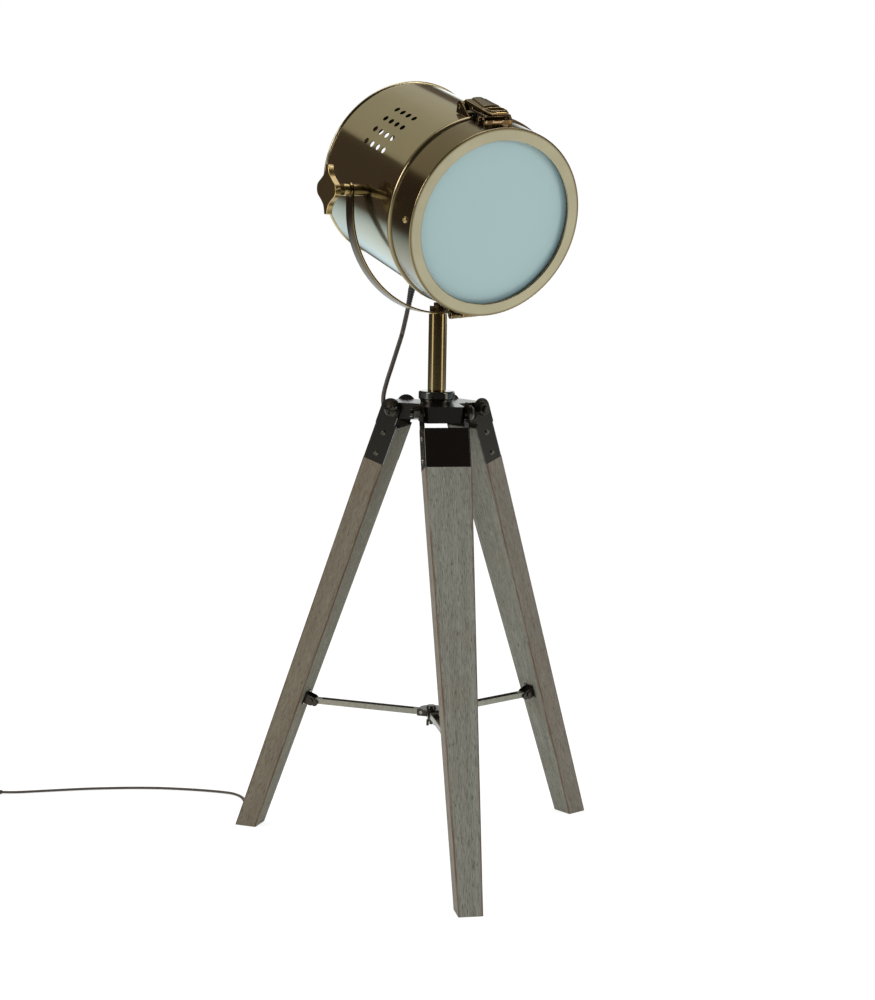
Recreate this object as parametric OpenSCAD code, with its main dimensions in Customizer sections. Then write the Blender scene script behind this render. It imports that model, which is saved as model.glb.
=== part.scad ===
// Tripod spotlight floor lamp. All sizes in millimetres, +Z up, floor at z = 0.
// The tripod axis is the Z axis; the front leg points along -Y.

/* [Head position] */
// Height of the tilt pivot above the floor
pivot_z = 747.2; // [700:0.1:800]
// Turn of the head about the pole, degrees
head_pan = 19.5; // [-90:0.5:90]
// Nose-down tilt of the head, degrees
head_tilt = 15.6; // [-7:0.1:24]

/* [Drum and bezel] */
// Outer radius of the drum
drum_r = 101; // [90:0.5:110]
// Sheet thickness of the drum and bezel
sheet = 1; // [0.6:0.1:2]
// Distance of the drum's rear edge behind the pivot
drum_back = 84; // [70:0.5:100]
// Distance of the drum's front edge ahead of the pivot
drum_front = 76; // [60:0.5:90]
// How far the rolled rim at the drum's rear stands proud
rear_rim = 1.5; // [0.5:0.1:4]
// Radial gap between the drum and the bezel band round it
bezel_fit = 1.1; // [0.6:0.1:2]
// Distance of the bezel's front face ahead of the pivot
bezel_front = 122.3; // [110:0.1:135]
// How far the bezel's rear bead stands proud of its band
bead_out = 2.5; // [2:0.1:4]
// Width of the bezel's front lip
lip_w = 13.9; // [8:0.1:20]
// Diameter of a vent hole
vent_d = 7; // [4:0.5:10]
// Spacing of the vent holes along the drum
vent_pitch = 12.9; // [9:0.1:16]
// Spacing of the vent holes around the drum, degrees
vent_step = 9.1; // [6:0.1:12]
// Glass thickness
glass_t = 3; // [2:0.5:5]

/* [Latch and hinge] */
// Position of the latch around the drum, degrees from the right side
latch_angle = 94; // [80:1:100]
// Width of the latch lever
latch_w = 30; // [24:1:40]
// Distance of the bezel hinge's axis outside the bead
hinge_out = 11.4; // [9:0.1:15]

/* [Yoke and knobs] */
// Width of the yoke strap
strap_w = 16; // [12:1:25]
// Thickness of the yoke strap
strap_t = 2; // [1.5:0.5:4]
// Clearance between the drum and the yoke strap
yoke_clear = 9.7; // [8:0.1:16]
// Straight part of the yoke below the pivot
yoke_leg = 21.5; // [10:0.5:40]
// Half length of the four-point knob
knob_long = 27; // [20:0.5:32]
// Half width of the four-point knob
knob_short = 19.5; // [14:0.5:24]
// Distance of the knob's back face outside the strap's centreline
knob_out = 23.5; // [12:0.5:30]

/* [Pole and hub] */
// Outer diameter of the pole
pole_d = 20.5; // [16:0.5:25]
// How far the collar stands proud of the pole
collar_out = 10; // [6:0.5:14]
// Height of a hub arm
hub_h = 18; // [12:0.5:24]
// Width of a hub arm
hub_arm_w = 45; // [38:0.5:46]
// Reach of a hub arm from the tripod axis
hub_reach = 52; // [48:0.5:58]

/* [Legs] */
// Radius of the leg hinge pins from the tripod axis
hinge_r = 43; // [36:0.5:50]
// Height of the leg hinge pins
hinge_z = 506.5; // [450:0.5:560]
// Lean of a leg from upright, degrees
leg_lean = 19.8; // [15:0.1:24]
// Width of a leg at its hinge
leg_w_top = 55.5; // [50:0.5:60]
// Width of a leg at its foot
leg_w_foot = 26.8; // [20:0.1:35]
// Distance of a leg's outer face from its hinge pin
leg_out = 13.6; // [11:0.1:16]
// Distance of a leg's inner face from its hinge pin
leg_in = 11.4; // [9:0.1:14]
// Distance of a leg's wooden top below its hinge pin
wood_top = 19.5; // [15:0.5:22]

/* [Stays] */
// Height of the stays above the floor
stay_z = 158; // [140:1:180]
// Width of a stay
stay_w = 10; // [7:0.5:12]
// Height of a stay
stay_h = 6; // [4:0.5:8]

/* [Cord] */
// Width of the flat twin flex
flex_w = 5.3; // [5:0.1:7]
// Thickness of the flat twin flex
flex_t = 3.2; // [2.8:0.1:4]

/* [Hidden] */
$fn = 64;
legs = [-90, 150, 30];
leg_len = 543;
yoke_r = drum_r + yoke_clear + strap_t / 2;
strap_bottom = pivot_z - yoke_leg - yoke_r - strap_t / 2;
strap_floor = strap_bottom + strap_t;
pole_top = strap_bottom - 0.1;
hub_bottom = hinge_z - hub_h / 2 - 1.7;
hub_top = hub_bottom + hub_h;
collar_top = hub_top + 13.3;
gap = 0.05;

// leg bracket, bolts and screws
bracket_w = 52;
bracket_t = 1.5;
bracket_low = 63.5;
bracket_high = 20;
bolt_r = 4;
screw_r = 1.5;
screw_rows = [29, 54];

// stays
pin_reach = 10.5;
stay_pin_r = 2;
stand_off = 10.5;
rivet_off = 8.5;
bar_end = 145.2 - pin_reach;
rivet_s = 363.2;
cheek_gap = stay_w + 1.2;

// head fittings
boss_r = 6.5;
stud_r = 3;
rear_rim_r = drum_r + rear_rim;
bezel_r = drum_r + bezel_fit + sheet;
bezel_in = bezel_r - sheet;
bead_r = bezel_r + bead_out;
bead_wire = 4.1;
bead_a = drum_front + 1.2;
lip_r = bezel_r - lip_w;
glass_a = bezel_front - 10.3;
screw_a = glass_a - 1.5;
gland_a = -28;
gland_out = 20;
rear_open_r = drum_r - 40.5;
bridge_w = 48;
plate_a = 5 - drum_back;
holder_r = 20;
bulb_r = 30;
hinge_axis_r = bead_r + hinge_out;
hinge_axis_a = drum_front - 1;
latch_pin_a = drum_front - 23;
latch_pin_r = bezel_r + 5.4;
bail_pin_a = latch_pin_a + 19;
bail_pin_r = latch_pin_r + 2;
catch_a = bezel_front - 18.3;

// plug, switch and coil on the floor
switch_c = [-541, 268];
switch_l = 62;
coil_c = [-612, 297];
plug_c = [-547, 328];
coil_r = 29;
coil_turns = 4.5;
coil_rise = 3.8;
coil_steps = 24;

// cord centrelines, chosen by hand
drop_route = [
    [-20, 56.3, 637.6], [-21.2, 58.6, 629], [-22.8, 60.6, 618], [-25.3, 62.6, 604],
    [-29.2, 64.6, 585], [-34.4, 66, 567], [-39.8, 66.8, 549], [-45.4, 67, 531],
    [-49.4, 66.2, 514], [-48.6, 63.8, 499], [-44.9, 59.6, 484], [-41.1, 55.9, 473.6]];
floor_route = [
    [-183.7, 124.3, 20.5], [-186, 127, 13.5], [-188.6, 132, 7], [-191, 140, 3.2],
    [-193, 150, 1.8], [-194.5, 164, 1.7], [-194.6, 180, 1.7], [-194.4, 196, 1.7],
    [-196.4, 211, 1.7], [-202.6, 224.4, 1.7], [-213, 234, 1.7], [-238, 246, 1.7],
    [-267, 256.5, 1.7], [-296, 264.5, 1.7], [-326, 269.5, 1.7], [-356, 272, 1.7],
    [-385, 273, 1.7], [-415, 272, 1.7], [-444, 270.5, 1.7], [-470, 269.2, 1.8],
    [-490, 268.4, 3], [-502, 268.1, 5], [-509.6, 268, 6]];
lead_route = [[-572.4, 268, 6], [-580, 268, 5], [-590, 268, 3], [-602, 268, 2]];
tail_route = [[-604.5, 326.2, 18.2], [-596, 326.8, 15.5], [-587, 327.5, 11.5],
    [-578, 328, 8.2], [-570.1, 328, 7]];

// ---------- shared frames ----------

// hinge pin of the leg at an azimuth: x outward, y around, z up along the leg
module at_leg(az) {
    rotate([0, 0, az])
        translate([hinge_r, 0, hinge_z])
            rotate([0, -leg_lean, 0])
                children();
}

// yoke frame: x along the tilt axis
module in_yoke() {
    translate([0, 0, pivot_z])
        rotate([0, 0, head_pan])
            children();
}

// head frame: z along the drum towards the glass, y up
module in_head() {
    in_yoke()
        rotate([head_tilt + 90, 0, 0])
            children();
}

// place on the drum: x outward, y around, z forward
module on_head(angle) {
    in_head()
        rotate([0, 0, angle])
            children();
}

module ring(r_out, r_in, h, n = 64) {
    difference() {
        cylinder(r = r_out, h = h, $fn = n);
        translate([0, 0, -1])
            cylinder(r = r_in, h = h + 2, $fn = n);
    }
}

module rounded(w, h, r) {
    square([w - 2 * r, h], center = true);
    square([w, h - 2 * r], center = true);
    for (x = [-1, 1], y = [-1, 1])
        translate([x * (w / 2 - r), y * (h / 2 - r)])
            circle(r = r, $fn = 32);
}

// ---------- hub and pole ----------

module hub() {
    color("#181615")
        difference() {
            union() {
                for (az = legs)
                    rotate([0, 0, az])
                        translate([hub_reach / 2 - 5, 0, hub_bottom])
                            linear_extrude(hub_h)
                                rounded(hub_reach + 10, hub_arm_w, 6);
                translate([0, 0, hub_top - 1])
                    cylinder(r = 18, h = 3.5);
            }
            translate([0, 0, hub_bottom - 1])
                cylinder(r = pole_d / 2 + gap, h = hub_h + 6);
            for (az = legs)
                rotate([0, 0, az])
                    translate([hinge_r, -30, hinge_z])
                        rotate([-90, 0, 0])
                            cylinder(r = bolt_r + gap, h = 60);
        }
}

module hub_collar() {
    inside = pole_d / 2 + gap;
    outside = pole_d / 2 + collar_out;
    color("#121110")
        translate([0, 0, hub_top + 2.5])
            rotate_extrude($fn = 96)
                difference() {
                    union() {
                        translate([inside, 0])
                            square([outside - 1.6 - inside, 2]);
                        translate([inside, 1])
                            square([outside - 2 - inside, 9.8]);
                        translate([inside, 3])
                            square([outside - inside, 5.8]);
                        for (y = [3, 8.8])
                            translate([outside - 2, y])
                                circle(r = 2, $fn = 32);
                    }
                    translate([0, -5])
                        square([60, 5]);
                }
}

module pole() {
    color("#6e5a34")
        difference() {
            translate([0, 0, hub_bottom + 1])
                cylinder(r = pole_d / 2, h = pole_top - hub_bottom - 1);
            translate([0, 0, hub_bottom])
                cylinder(r = pole_d / 2 - 1.2, h = pole_top - hub_bottom - 8);
            translate([0, 0, pole_top - 20])
                cylinder(r = 5, h = 30);
        }
}

module nipple() {
    color("#6e5a34")
        translate([0, 0, pole_top - 12])
            difference() {
                cylinder(r = 5, h = 24.5);
                translate([0, 0, -1])
                    cylinder(r = 3.5, h = 30);
            }
}

module lock_nut() {
    color("#6e5a34")
        translate([0, 0, strap_floor + 0.55])
            difference() {
                cylinder(r = 9.5, h = 6, $fn = 6);
                translate([0, 0, -1])
                    cylinder(r = 5, h = 8);
            }
}

// ---------- legs ----------

function leg_width(s) = leg_w_top - (leg_w_top - leg_w_foot) * s / leg_len;

module leg_section(s, w, x_out) {
    for (x = [-leg_in + 1.6, x_out - 1.6], y = [-1, 1])
        translate([x, y * (w / 2 - 1.6), -s])
            cylinder(r = 1.6, h = 0.2, $fn = 16);
}

module screw_bores(r) {
    for (s = screw_rows, side = [0, 180])
        translate([1.1, 0, -s])
            rotate([0, 0, side])
                rotate([-90, 0, 0])
                    cylinder(r = r, h = 40, $fn = 32);
}

module leg(az) {
    color("#6b6558")
        intersection() {
            at_leg(az)
                difference() {
                    union() {
                        hull() {
                            leg_section(bracket_low + 0.3, leg_width(bracket_low), leg_out);
                            leg_section(575, leg_width(575), leg_out);
                        }
                        hull() {
                            leg_section(wood_top + 0.2, bracket_w - 2 * bracket_t - 0.2,
                                leg_out - bracket_t - 0.1);
                            leg_section(bracket_low + 4, bracket_w - 2 * bracket_t - 0.2,
                                leg_out - bracket_t - 0.1);
                        }
                    }
                    screw_bores(screw_r + 0.02);
                }
            translate([-500, -500, 0])
                cube([1000, 1000, 600]);
        }
}

// folded sheet bracket: back plate, two cheeks and their rounded ears
module leg_bracket(az) {
    bw = bracket_w / 2;
    color("#1b1917")
        at_leg(az)
            difference() {
                union() {
                    translate([0, 0, -bracket_low])
                        linear_extrude(bracket_low - bracket_high)
                            difference() {
                                intersection() {
                                    translate([leg_out - 20, 0])
                                        rounded(40, bracket_w, 2.4);
                                    translate([-leg_in, -bw])
                                        square([leg_in + leg_out, bracket_w]);
                                }
                                translate([leg_out - 20 - bracket_t, 0])
                                    rounded(40, bracket_w - 2 * bracket_t, 1);
                            }
                    for (side = [-1, 1])
                        translate([0, side * (bw - bracket_t / 2), 0])
                            rotate([90, 0, 0])
                                translate([0, 0, -bracket_t / 2])
                                    ear();
                }
                rotate([90, 0, 0])
                    translate([0, 0, -40])
                        cylinder(r = bolt_r + 0.02, h = 80);
                screw_bores(screw_r + 0.02);
            }
}

module ear() {
    r = 11.3;
    linear_extrude(bracket_t) {
        translate([leg_out - r, 0])
            circle(r = r);
        translate([leg_out - 2 * r, -bracket_high - 1])
            square([2 * r, bracket_high + 1]);
        translate([-leg_in, -bracket_high - 1])
            square([leg_in, 4]);
    }
}

module hinge_bolt(az) {
    color("#201d1b")
        at_leg(az)
            rotate([-90, 0, 0])
                difference() {
                    union() {
                        translate([0, 0, -38])
                            cylinder(r = bolt_r, h = 66);
                        translate([0, 0, 27.6])
                            cylinder(r = 8, h = 3.4);
                        translate([0, 0, 31])
                            cylinder(r1 = 8, r2 = 5.6, h = 2.5);
                    }
                    translate([-5, -0.9, 31.4])
                        cube([10, 1.8, 4]);
                    translate([-0.9, -5, 31.4])
                        cube([1.8, 10, 4]);
                }
}

// washers either side, the spacers inside the ears, and the nut
module hinge_nut(az) {
    color("#201d1b")
        at_leg(az)
            rotate([-90, 0, 0]) {
                translate([0, 0, 26.05])
                    ring(9, bolt_r + 0.02, 1.5);
                translate([0, 0, -27.55])
                    ring(9, bolt_r + 0.02, 1.5);
                for (z = [22.7, -24.3])
                    translate([0, 0, z])
                        ring(8, bolt_r + 0.02, 1.6);
                translate([0, 0, -34.1])
                    difference() {
                        cylinder(r = 7.5, h = 6.5, $fn = 6);
                        translate([0, 0, -1])
                            cylinder(r = bolt_r + 0.02, h = 9);
                    }
            }
}

module leg_screws(az) {
    color("#242120")
        at_leg(az)
            for (s = screw_rows, side = [0, 180])
                translate([1.1, 0, -s])
                    rotate([0, 0, side])
                        rotate([-90, 0, 0]) {
                            translate([0, 0, 14])
                                cylinder(r = screw_r, h = 13, $fn = 32);
                            translate([0, 0, bracket_w / 2 + 0.05])
                                cylinder(r1 = 3.4, r2 = 2.2, h = 1.5);
                        }
}

module stay_bracket(az) {
    reach = stand_off + 6.5;
    color("#1b1917")
        at_leg(az)
            translate([-leg_in, 0, -rivet_s]) {
                translate([-1.5, -cheek_gap / 2 - 1.2, -8])
                    cube([1.45, cheek_gap + 2.4, 16]);
                for (side = [-1, 1])
                    translate([0, side * (cheek_gap / 2 + 0.6), 0])
                        rotate([90, 0, 0]) {
                            translate([0, 0, -0.6])
                                linear_extrude(1.2) {
                                    translate([-rivet_off, 0])
                                        circle(r = 5.5);
                                    translate([-rivet_off, -5.5])
                                        square([rivet_off - 0.2, 11]);
                                    translate([-reach + 3, 0])
                                        circle(r = 4);
                                }
                            translate([-rivet_off, 0, side < 0 ? 0.5 : -1.9])
                                cylinder(r = 3.2, h = 1.4);
                        }
            }
}

// ---------- stays ----------

module stay_hub() {
    color("#1b1917")
        translate([0, 0, stay_z])
            difference() {
                union() {
                    translate([0, 0, -5])
                        cylinder(r = 5.2, h = 9.5);
                    translate([0, 0, stay_h / 2 + 0.6])
                        cylinder(r = 13.5, h = 1.6);
                    translate([0, 0, stay_h / 2 + 2])
                        cylinder(r1 = 6, r2 = 4.6, h = 3.2);
                    for (az = legs, side = [-1, 1])
                        rotate([0, 0, az])
                            translate([3, side * (stay_w / 2 + 1) - 0.7, -4])
                                cube([12, 1.4, stay_h / 2 + 5]);
                }
                for (az = legs)
                    rotate([0, 0, az])
                        translate([pin_reach, -20, 0])
                            rotate([-90, 0, 0])
                                cylinder(r = stay_pin_r + 0.01, h = 40, $fn = 32);
                translate([0, 0, -10])
                    cylinder(r = 2.2, h = 14, $fn = 32);
            }
}

module stay_pins() {
    color("#8f8a80")
        for (az = legs)
            rotate([0, 0, az])
                translate([pin_reach, 0, stay_z])
                    rotate([90, 0, 0])
                        translate([0, 0, -stay_w / 2 - 1.7])
                            cylinder(r = stay_pin_r, h = stay_w + 3.4, $fn = 32);
}

module stay_nut() {
    color("#242120")
        translate([0, 0, stay_z]) {
            translate([0, 0, -14])
                cylinder(r = 2.15, h = 17, $fn = 32);
            translate([0, 0, -10.5])
                ring(4.6, 2.2, 4.5);
            for (side = [-1, 1])
                translate([side * 4.2 - 1.4, -0.9, -15.5])
                    cube([2.8, 1.8, 7]);
        }
}

module stay_bar(az) {
    color("#b9b4a8")
        rotate([0, 0, az])
            translate([pin_reach, 0, stay_z])
                difference() {
                    union() {
                        translate([12, -stay_w / 2, -stay_h / 2])
                            cube([bar_end - 24, stay_w, stay_h]);
                        for (x = [0, bar_end - 14])
                            translate([x, -stay_w / 2, -stay_h / 2])
                                cube([x == 0 ? 13 : 11, stay_w, stay_h]);
                        for (x = [0, bar_end - stay_h / 2])
                            translate([x, stay_w / 2, 0])
                                rotate([90, 0, 0])
                                    cylinder(r = stay_h / 2, h = stay_w, $fn = 32);
                    }
                    translate([11, -stay_w / 2 + 1.2, -stay_h / 2 + 1.2])
                        cube([bar_end - 22, stay_w - 2.4, stay_h]);
                    translate([0, 20, 0])
                        rotate([90, 0, 0])
                            cylinder(r = stay_pin_r + gap, h = 40, $fn = 32);
                }
}

// ---------- yoke and knobs ----------

module yoke_strap() {
    color("#5c4a2a")
        in_yoke()
            difference() {
                union() {
                    rotate([90, 0, 0])
                        translate([0, 0, -strap_w / 2])
                            linear_extrude(strap_w)
                                yoke_outline();
                    for (side = [-1, 1])
                        translate([side * yoke_r - strap_t / 2, 0, 0])
                            rotate([0, 90, 0])
                                cylinder(r = strap_w / 2, h = strap_t);
                }
                translate([-yoke_r - 10, 0, 0])
                    rotate([0, 90, 0])
                        cylinder(r = stud_r + gap, h = 2 * yoke_r + 20, $fn = 32);
                translate([0, 0, -yoke_leg - yoke_r - 10])
                    cylinder(r = 5 + gap, h = 20);
            }
}

module yoke_outline() {
    translate([0, -yoke_leg])
        difference() {
            circle(r = yoke_r + strap_t / 2, $fn = 160);
            circle(r = yoke_r - strap_t / 2, $fn = 160);
            translate([-yoke_r - 10, 0])
                square([2 * yoke_r + 20, yoke_r + 20]);
        }
    for (side = [-1, 1])
        translate([side * yoke_r - strap_t / 2, -yoke_leg - 0.01])
            square([strap_t, yoke_leg + 0.01]);
}

module yoke_washers() {
    color("#7a6840")
        in_yoke()
            for (side = [0, 180])
                rotate([0, 0, side])
                    translate([yoke_r + strap_t / 2 + 0.05, 0, 0])
                        rotate([0, 90, 0])
                            ring(8, stud_r + gap, 1.2);
}

// one concave side of the four-point outline, from the long tip to the short one
function knob_side(n) = [for (i = [0:n]) let (t = 90 * i / n, p = 2.7)
    [knob_short * pow(sin(t), p) + 2.2 * cos(t) * sin(t),
     knob_long * pow(cos(t), p) + 2.2 * cos(t) * sin(t)]];

module knob_outline() {
    for (mx = [0, 1], my = [0, 1])
        mirror([mx, 0])
            mirror([0, my])
                polygon(concat([[0, 0]], knob_side(14)));
    for (side = [-1, 1]) {
        translate([0, side * (knob_long - 3.2)])
            circle(r = 3.2, $fn = 24);
        translate([side * (knob_short - 3.2), 0])
            circle(r = 3.2, $fn = 24);
    }
}

module knob(side) {
    color("#5c4a2a")
        in_yoke()
            rotate([0, 0, side < 0 ? 180 : 0])
                translate([yoke_r, 0, 0])
                    rotate([0, 90, 0])
                        rotate([0, 0, 90]) {
                            translate([0, 0, strap_t / 2 + 1.4])
                                cylinder(r = boss_r, h = knob_out - strap_t / 2 - 1.4);
                            translate([0, 0, knob_out - 0.5])
                                knob_head();
                            translate([0, 0, -yoke_r + drum_r - 4])
                                cylinder(r = stud_r, h = yoke_r - drum_r + 10, $fn = 32);
                        }
}

module knob_head() {
    linear_extrude(3.5)
        knob_outline();
    translate([0, 0, 3.5])
        linear_extrude(3, scale = 0.7)
            knob_outline();
    translate([0, 0, 6.5])
        linear_extrude(2, scale = 0.55)
            scale([0.7, 0.7])
                knob_outline();
}

// ---------- head ----------

module drum() {
    color("#54452a")
        in_head()
            difference() {
                union() {
                    rotate_extrude($fn = 128)
                        drum_profile();
                }
                for (m = [0, 1])
                    mirror([m, 0, 0])
                        for (i = [0:3], j = [0:3])
                            rotate([0, 0, 123.9 + vent_step * j])
                                translate([drum_r - 11, 0, -21.5 + vent_pitch * i])
                                    rotate([0, 90, 0])
                                        cylinder(d = vent_d, h = 20, $fn = 24);
                rotate([0, 90, 0])
                    translate([0, 0, -drum_r - 10])
                        cylinder(r = stud_r + gap, h = 2 * drum_r + 20, $fn = 32);
                rotate([90, 0, 0])
                    translate([0, gland_a, drum_r - 11])
                        cylinder(r = 5.05, h = 20, $fn = 32);
            }
}

module drum_profile() {
    translate([drum_r - sheet, -drum_back + 1.5])
        square([sheet, drum_back + drum_front - 1.5]);
    translate([rear_rim_r - 1.6, -drum_back + 1.5])
        circle(r = 1.6, $fn = 24);
}

module rear_bridge() {
    color("#54452a")
        in_head()
            difference() {
                union() {
                    translate([0, 0, plate_a])
                        ring(drum_r - sheet, rear_open_r, 1);
                    translate([-bridge_w / 2, -rear_open_r - 4, plate_a])
                        cube([bridge_w, 2 * rear_open_r + 8, 1]);
                }
                translate([0, 0, plate_a - 1])
                    cylinder(r = 5, h = 3);
            }
}

module lampholder() {
    color("#171513")
        in_head()
            translate([0, 0, plate_a + 1])
                difference() {
                    union() {
                        cylinder(r = holder_r, h = 6);
                        cylinder(r = 17.5, h = 48);
                        translate([0, 0, 26])
                            cylinder(r = 19.5, h = 4);
                    }
                    translate([0, 0, 10])
                        cylinder(r = 13.6, h = 50);
                }
}

module bulb() {
    color("#f2efe6")
        in_head()
            translate([0, 0, plate_a + 22])
                rotate_extrude() {
                    square([13.4, 28]);
                    polygon([[0, 27.6], [13.4, 27.6], [18, 40], [25.5, 58], [0, 58]]);
                    intersection() {
                        translate([0, 74])
                            circle(r = bulb_r);
                        translate([0, 40])
                            square([bulb_r, 70]);
                    }
                }
}

module pivot_bosses() {
    color("#3a2f1e")
        in_head()
            for (side = [0, 180])
                rotate([0, 0, side])
                    difference() {
                        rotate([0, 90, 0]) {
                            translate([0, 0, drum_r - 0.4])
                                cylinder(r = boss_r, h = yoke_r - strap_t / 2 - drum_r + 0.1);
                        }
                        cylinder(r = drum_r + 0.02, h = 20, center = true, $fn = 128);
                        rotate([0, 90, 0])
                            translate([0, 0, drum_r - 20])
                                cylinder(r = stud_r + gap, h = 50, $fn = 32);
                    }
}

module cord_gland() {
    color("#141312")
        on_head(270)
            translate([0, 0, gland_a])
                rotate([0, 90, 0])
                    difference() {
                        union() {
                            translate([0, 0, drum_r - 4])
                                cylinder(r = 5, h = 6, $fn = 32);
                            translate([0, 0, drum_r + 0.3])
                                cylinder(r1 = 6.8, r2 = 6, h = 2);
                            translate([0, 0, drum_r + 1.5])
                                cylinder(r1 = 5, r2 = 3.6, h = gland_out - 1.5);
                        }
                        translate([0, 0, drum_r - 6])
                            cylinder(r = 2.7, h = gland_out + 8, $fn = 32);
                    }
}

// ---------- bezel ----------

module bezel() {
    color("#8a7a55")
        in_head()
            difference() {
                rotate_extrude($fn = 128)
                    bezel_profile();
                for (side = [0, 180])
                    rotate([0, 0, side])
                        translate([bezel_r - 13, 0, screw_a])
                            rotate([0, 90, 0])
                                cylinder(r = screw_r + 0.02, h = 20, $fn = 32);
            }
}

module bezel_profile() {
    // rolled bead at the rear
    difference() {
        translate([bead_r - bead_wire, bead_a])
            circle(r = bead_wire, $fn = 48);
        translate([drum_r - 20, bead_a - 10])
            square([20.4, 20]);
        translate([bead_r - bead_wire, bead_a])
            circle(r = bead_wire - 1.2, $fn = 48);
    }
    translate([bezel_in, bead_a + 2.8])
        square([sheet, bezel_front - bead_a - 4.3]);
    translate([lip_r + 1, bezel_front - sheet])
        square([bezel_r - 1.5 - lip_r - 1, sheet]);
    difference() {
        translate([bezel_r - 1.5, bezel_front - 1.5])
            circle(r = 1.5, $fn = 32);
        translate([bezel_r - 6, bezel_front - 6])
            square([4.5, 6 - sheet]);
    }
    translate([lip_r, bezel_front - 3])
        square([sheet, 2.4]);
    translate([lip_r + 1, bezel_front - 1])
        circle(r = 1, $fn = 24);
}

module glass() {
    color("#dfe9ea")
        in_head()
            translate([0, 0, glass_a])
                cylinder(r = bezel_in - 0.6, h = glass_t, $fn = 128);
}

module glass_seal() {
    color("#22201e")
        in_head()
            translate([0, 0, glass_a + glass_t])
                ring(bezel_in - 0.8, lip_r + 2.4, bezel_front - sheet - glass_a - glass_t - 0.02);
}

module glass_clips() {
    color("#8f8a80")
        in_head()
            for (angle = [30, 150, 270])
                rotate([0, 0, angle]) {
                    translate([bezel_in - 1.2, -6, glass_a - 14])
                        cube([0.8, 12, 14]);
                    translate([bezel_in - 9, -6, glass_a - 1])
                        cube([8, 12, 0.98]);
                }
}

module bezel_screws() {
    color("#5c4a2a")
        in_head()
            for (side = [0, 180])
                rotate([0, 0, side])
                    translate([0, 0, screw_a])
                        rotate([0, 90, 0]) {
                            translate([0, 0, bezel_r - 4])
                                cylinder(r = screw_r, h = 5, $fn = 32);
                            translate([0, 0, bezel_r + 0.05])
                                cylinder(r1 = 3, r2 = 2, h = 1.3);
                        }
}

// ---------- bezel hinge at the bottom ----------

module knuckle(y0, len) {
    translate([hinge_axis_r, y0, hinge_axis_a])
        rotate([-90, 0, 0])
            cylinder(r = 4.2, h = len);
}

module hinge_leaf_drum() {
    color("#2a2118")
        on_head(latch_angle + 180)
            difference() {
                union() {
                    knuckle(-17, 10);
                    knuckle(7, 10);
                    for (y = [-17, 7])
                        translate([drum_r + 1.2, y, hinge_axis_a - 25])
                            cube([2, 10, 20]);
                    for (y = [-17, 7])
                        translate([drum_r + 1.2, y, hinge_axis_a - 9])
                            cube([hinge_axis_r - drum_r - 3, 10, 5]);
                    for (y = [-17, 7])
                        translate([hinge_axis_r - 4, y, hinge_axis_a - 9])
                            cube([4, 10, 8]);
                }
                cylinder(r = drum_r + 0.05, h = 90, $fn = 128);
                translate([hinge_axis_r, -30, hinge_axis_a])
                    rotate([-90, 0, 0])
                        cylinder(r = 1.8, h = 60, $fn = 32);
            }
}

module hinge_leaf_bezel() {
    color("#2a2118")
        on_head(latch_angle + 180)
            difference() {
                union() {
                    knuckle(-6.7, 13.4);
                    translate([bezel_r + 0.3, -6.7, hinge_axis_a + 9])
                        cube([1.8, 13.4, 17]);
                    translate([hinge_axis_r - 13.5, -6.7, hinge_axis_a + 9])
                        cube([12, 13.4, 2]);
                    translate([hinge_axis_r - 2.5, -6.7, hinge_axis_a + 1])
                        cube([2, 13.4, 10]);
                }
                translate([0, 0, hinge_axis_a - 15])
                    cylinder(r = bezel_r + 0.05, h = 60, $fn = 128);
                translate([0, 0, bead_a - 7.2])
                    cylinder(r = bead_r + 0.4, h = 12.6, $fn = 128);
                translate([hinge_axis_r, -30, hinge_axis_a])
                    rotate([-90, 0, 0])
                        cylinder(r = 1.85, h = 60, $fn = 32);
            }
}

module hinge_pin() {
    color("#3a2f1e")
        on_head(latch_angle + 180)
            translate([hinge_axis_r, -18, hinge_axis_a])
                rotate([-90, 0, 0])
                    cylinder(r = 1.8, h = 36, $fn = 32);
}

// ---------- latch at the top ----------

module latch_base() {
    color("#3a2f1e")
        on_head(latch_angle)
            difference() {
                union() {
                    intersection() {
                        translate([0, 0, latch_pin_a - 11])
                            ring(drum_r + 2, drum_r + 0.05, 29, 240);
                        translate([drum_r - 11, 0, 0])
                            rotate([0, 90, 0])
                                translate([-latch_pin_a - 4, 0, 0])
                                    linear_extrude(20)
                                        rounded(28, 36, 8);
                    }
                    for (side = [-1, 1])
                        translate([drum_r - 1, side * 16.9 - 1, latch_pin_a - 5])
                            cube([latch_pin_r - drum_r + 3, 2, 10]);
                    for (side = [-1, 1])
                        translate([latch_pin_r + 1, side * 16.9 + 1, latch_pin_a])
                            rotate([90, 0, 0])
                                cylinder(r = 4.5, h = 2);
                }
                cylinder(r = drum_r + 0.05, h = 90, $fn = 128);
                translate([latch_pin_r, 30, latch_pin_a])
                    rotate([90, 0, 0])
                        cylinder(r = 2.05, h = 60, $fn = 32);
            }
}

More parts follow.
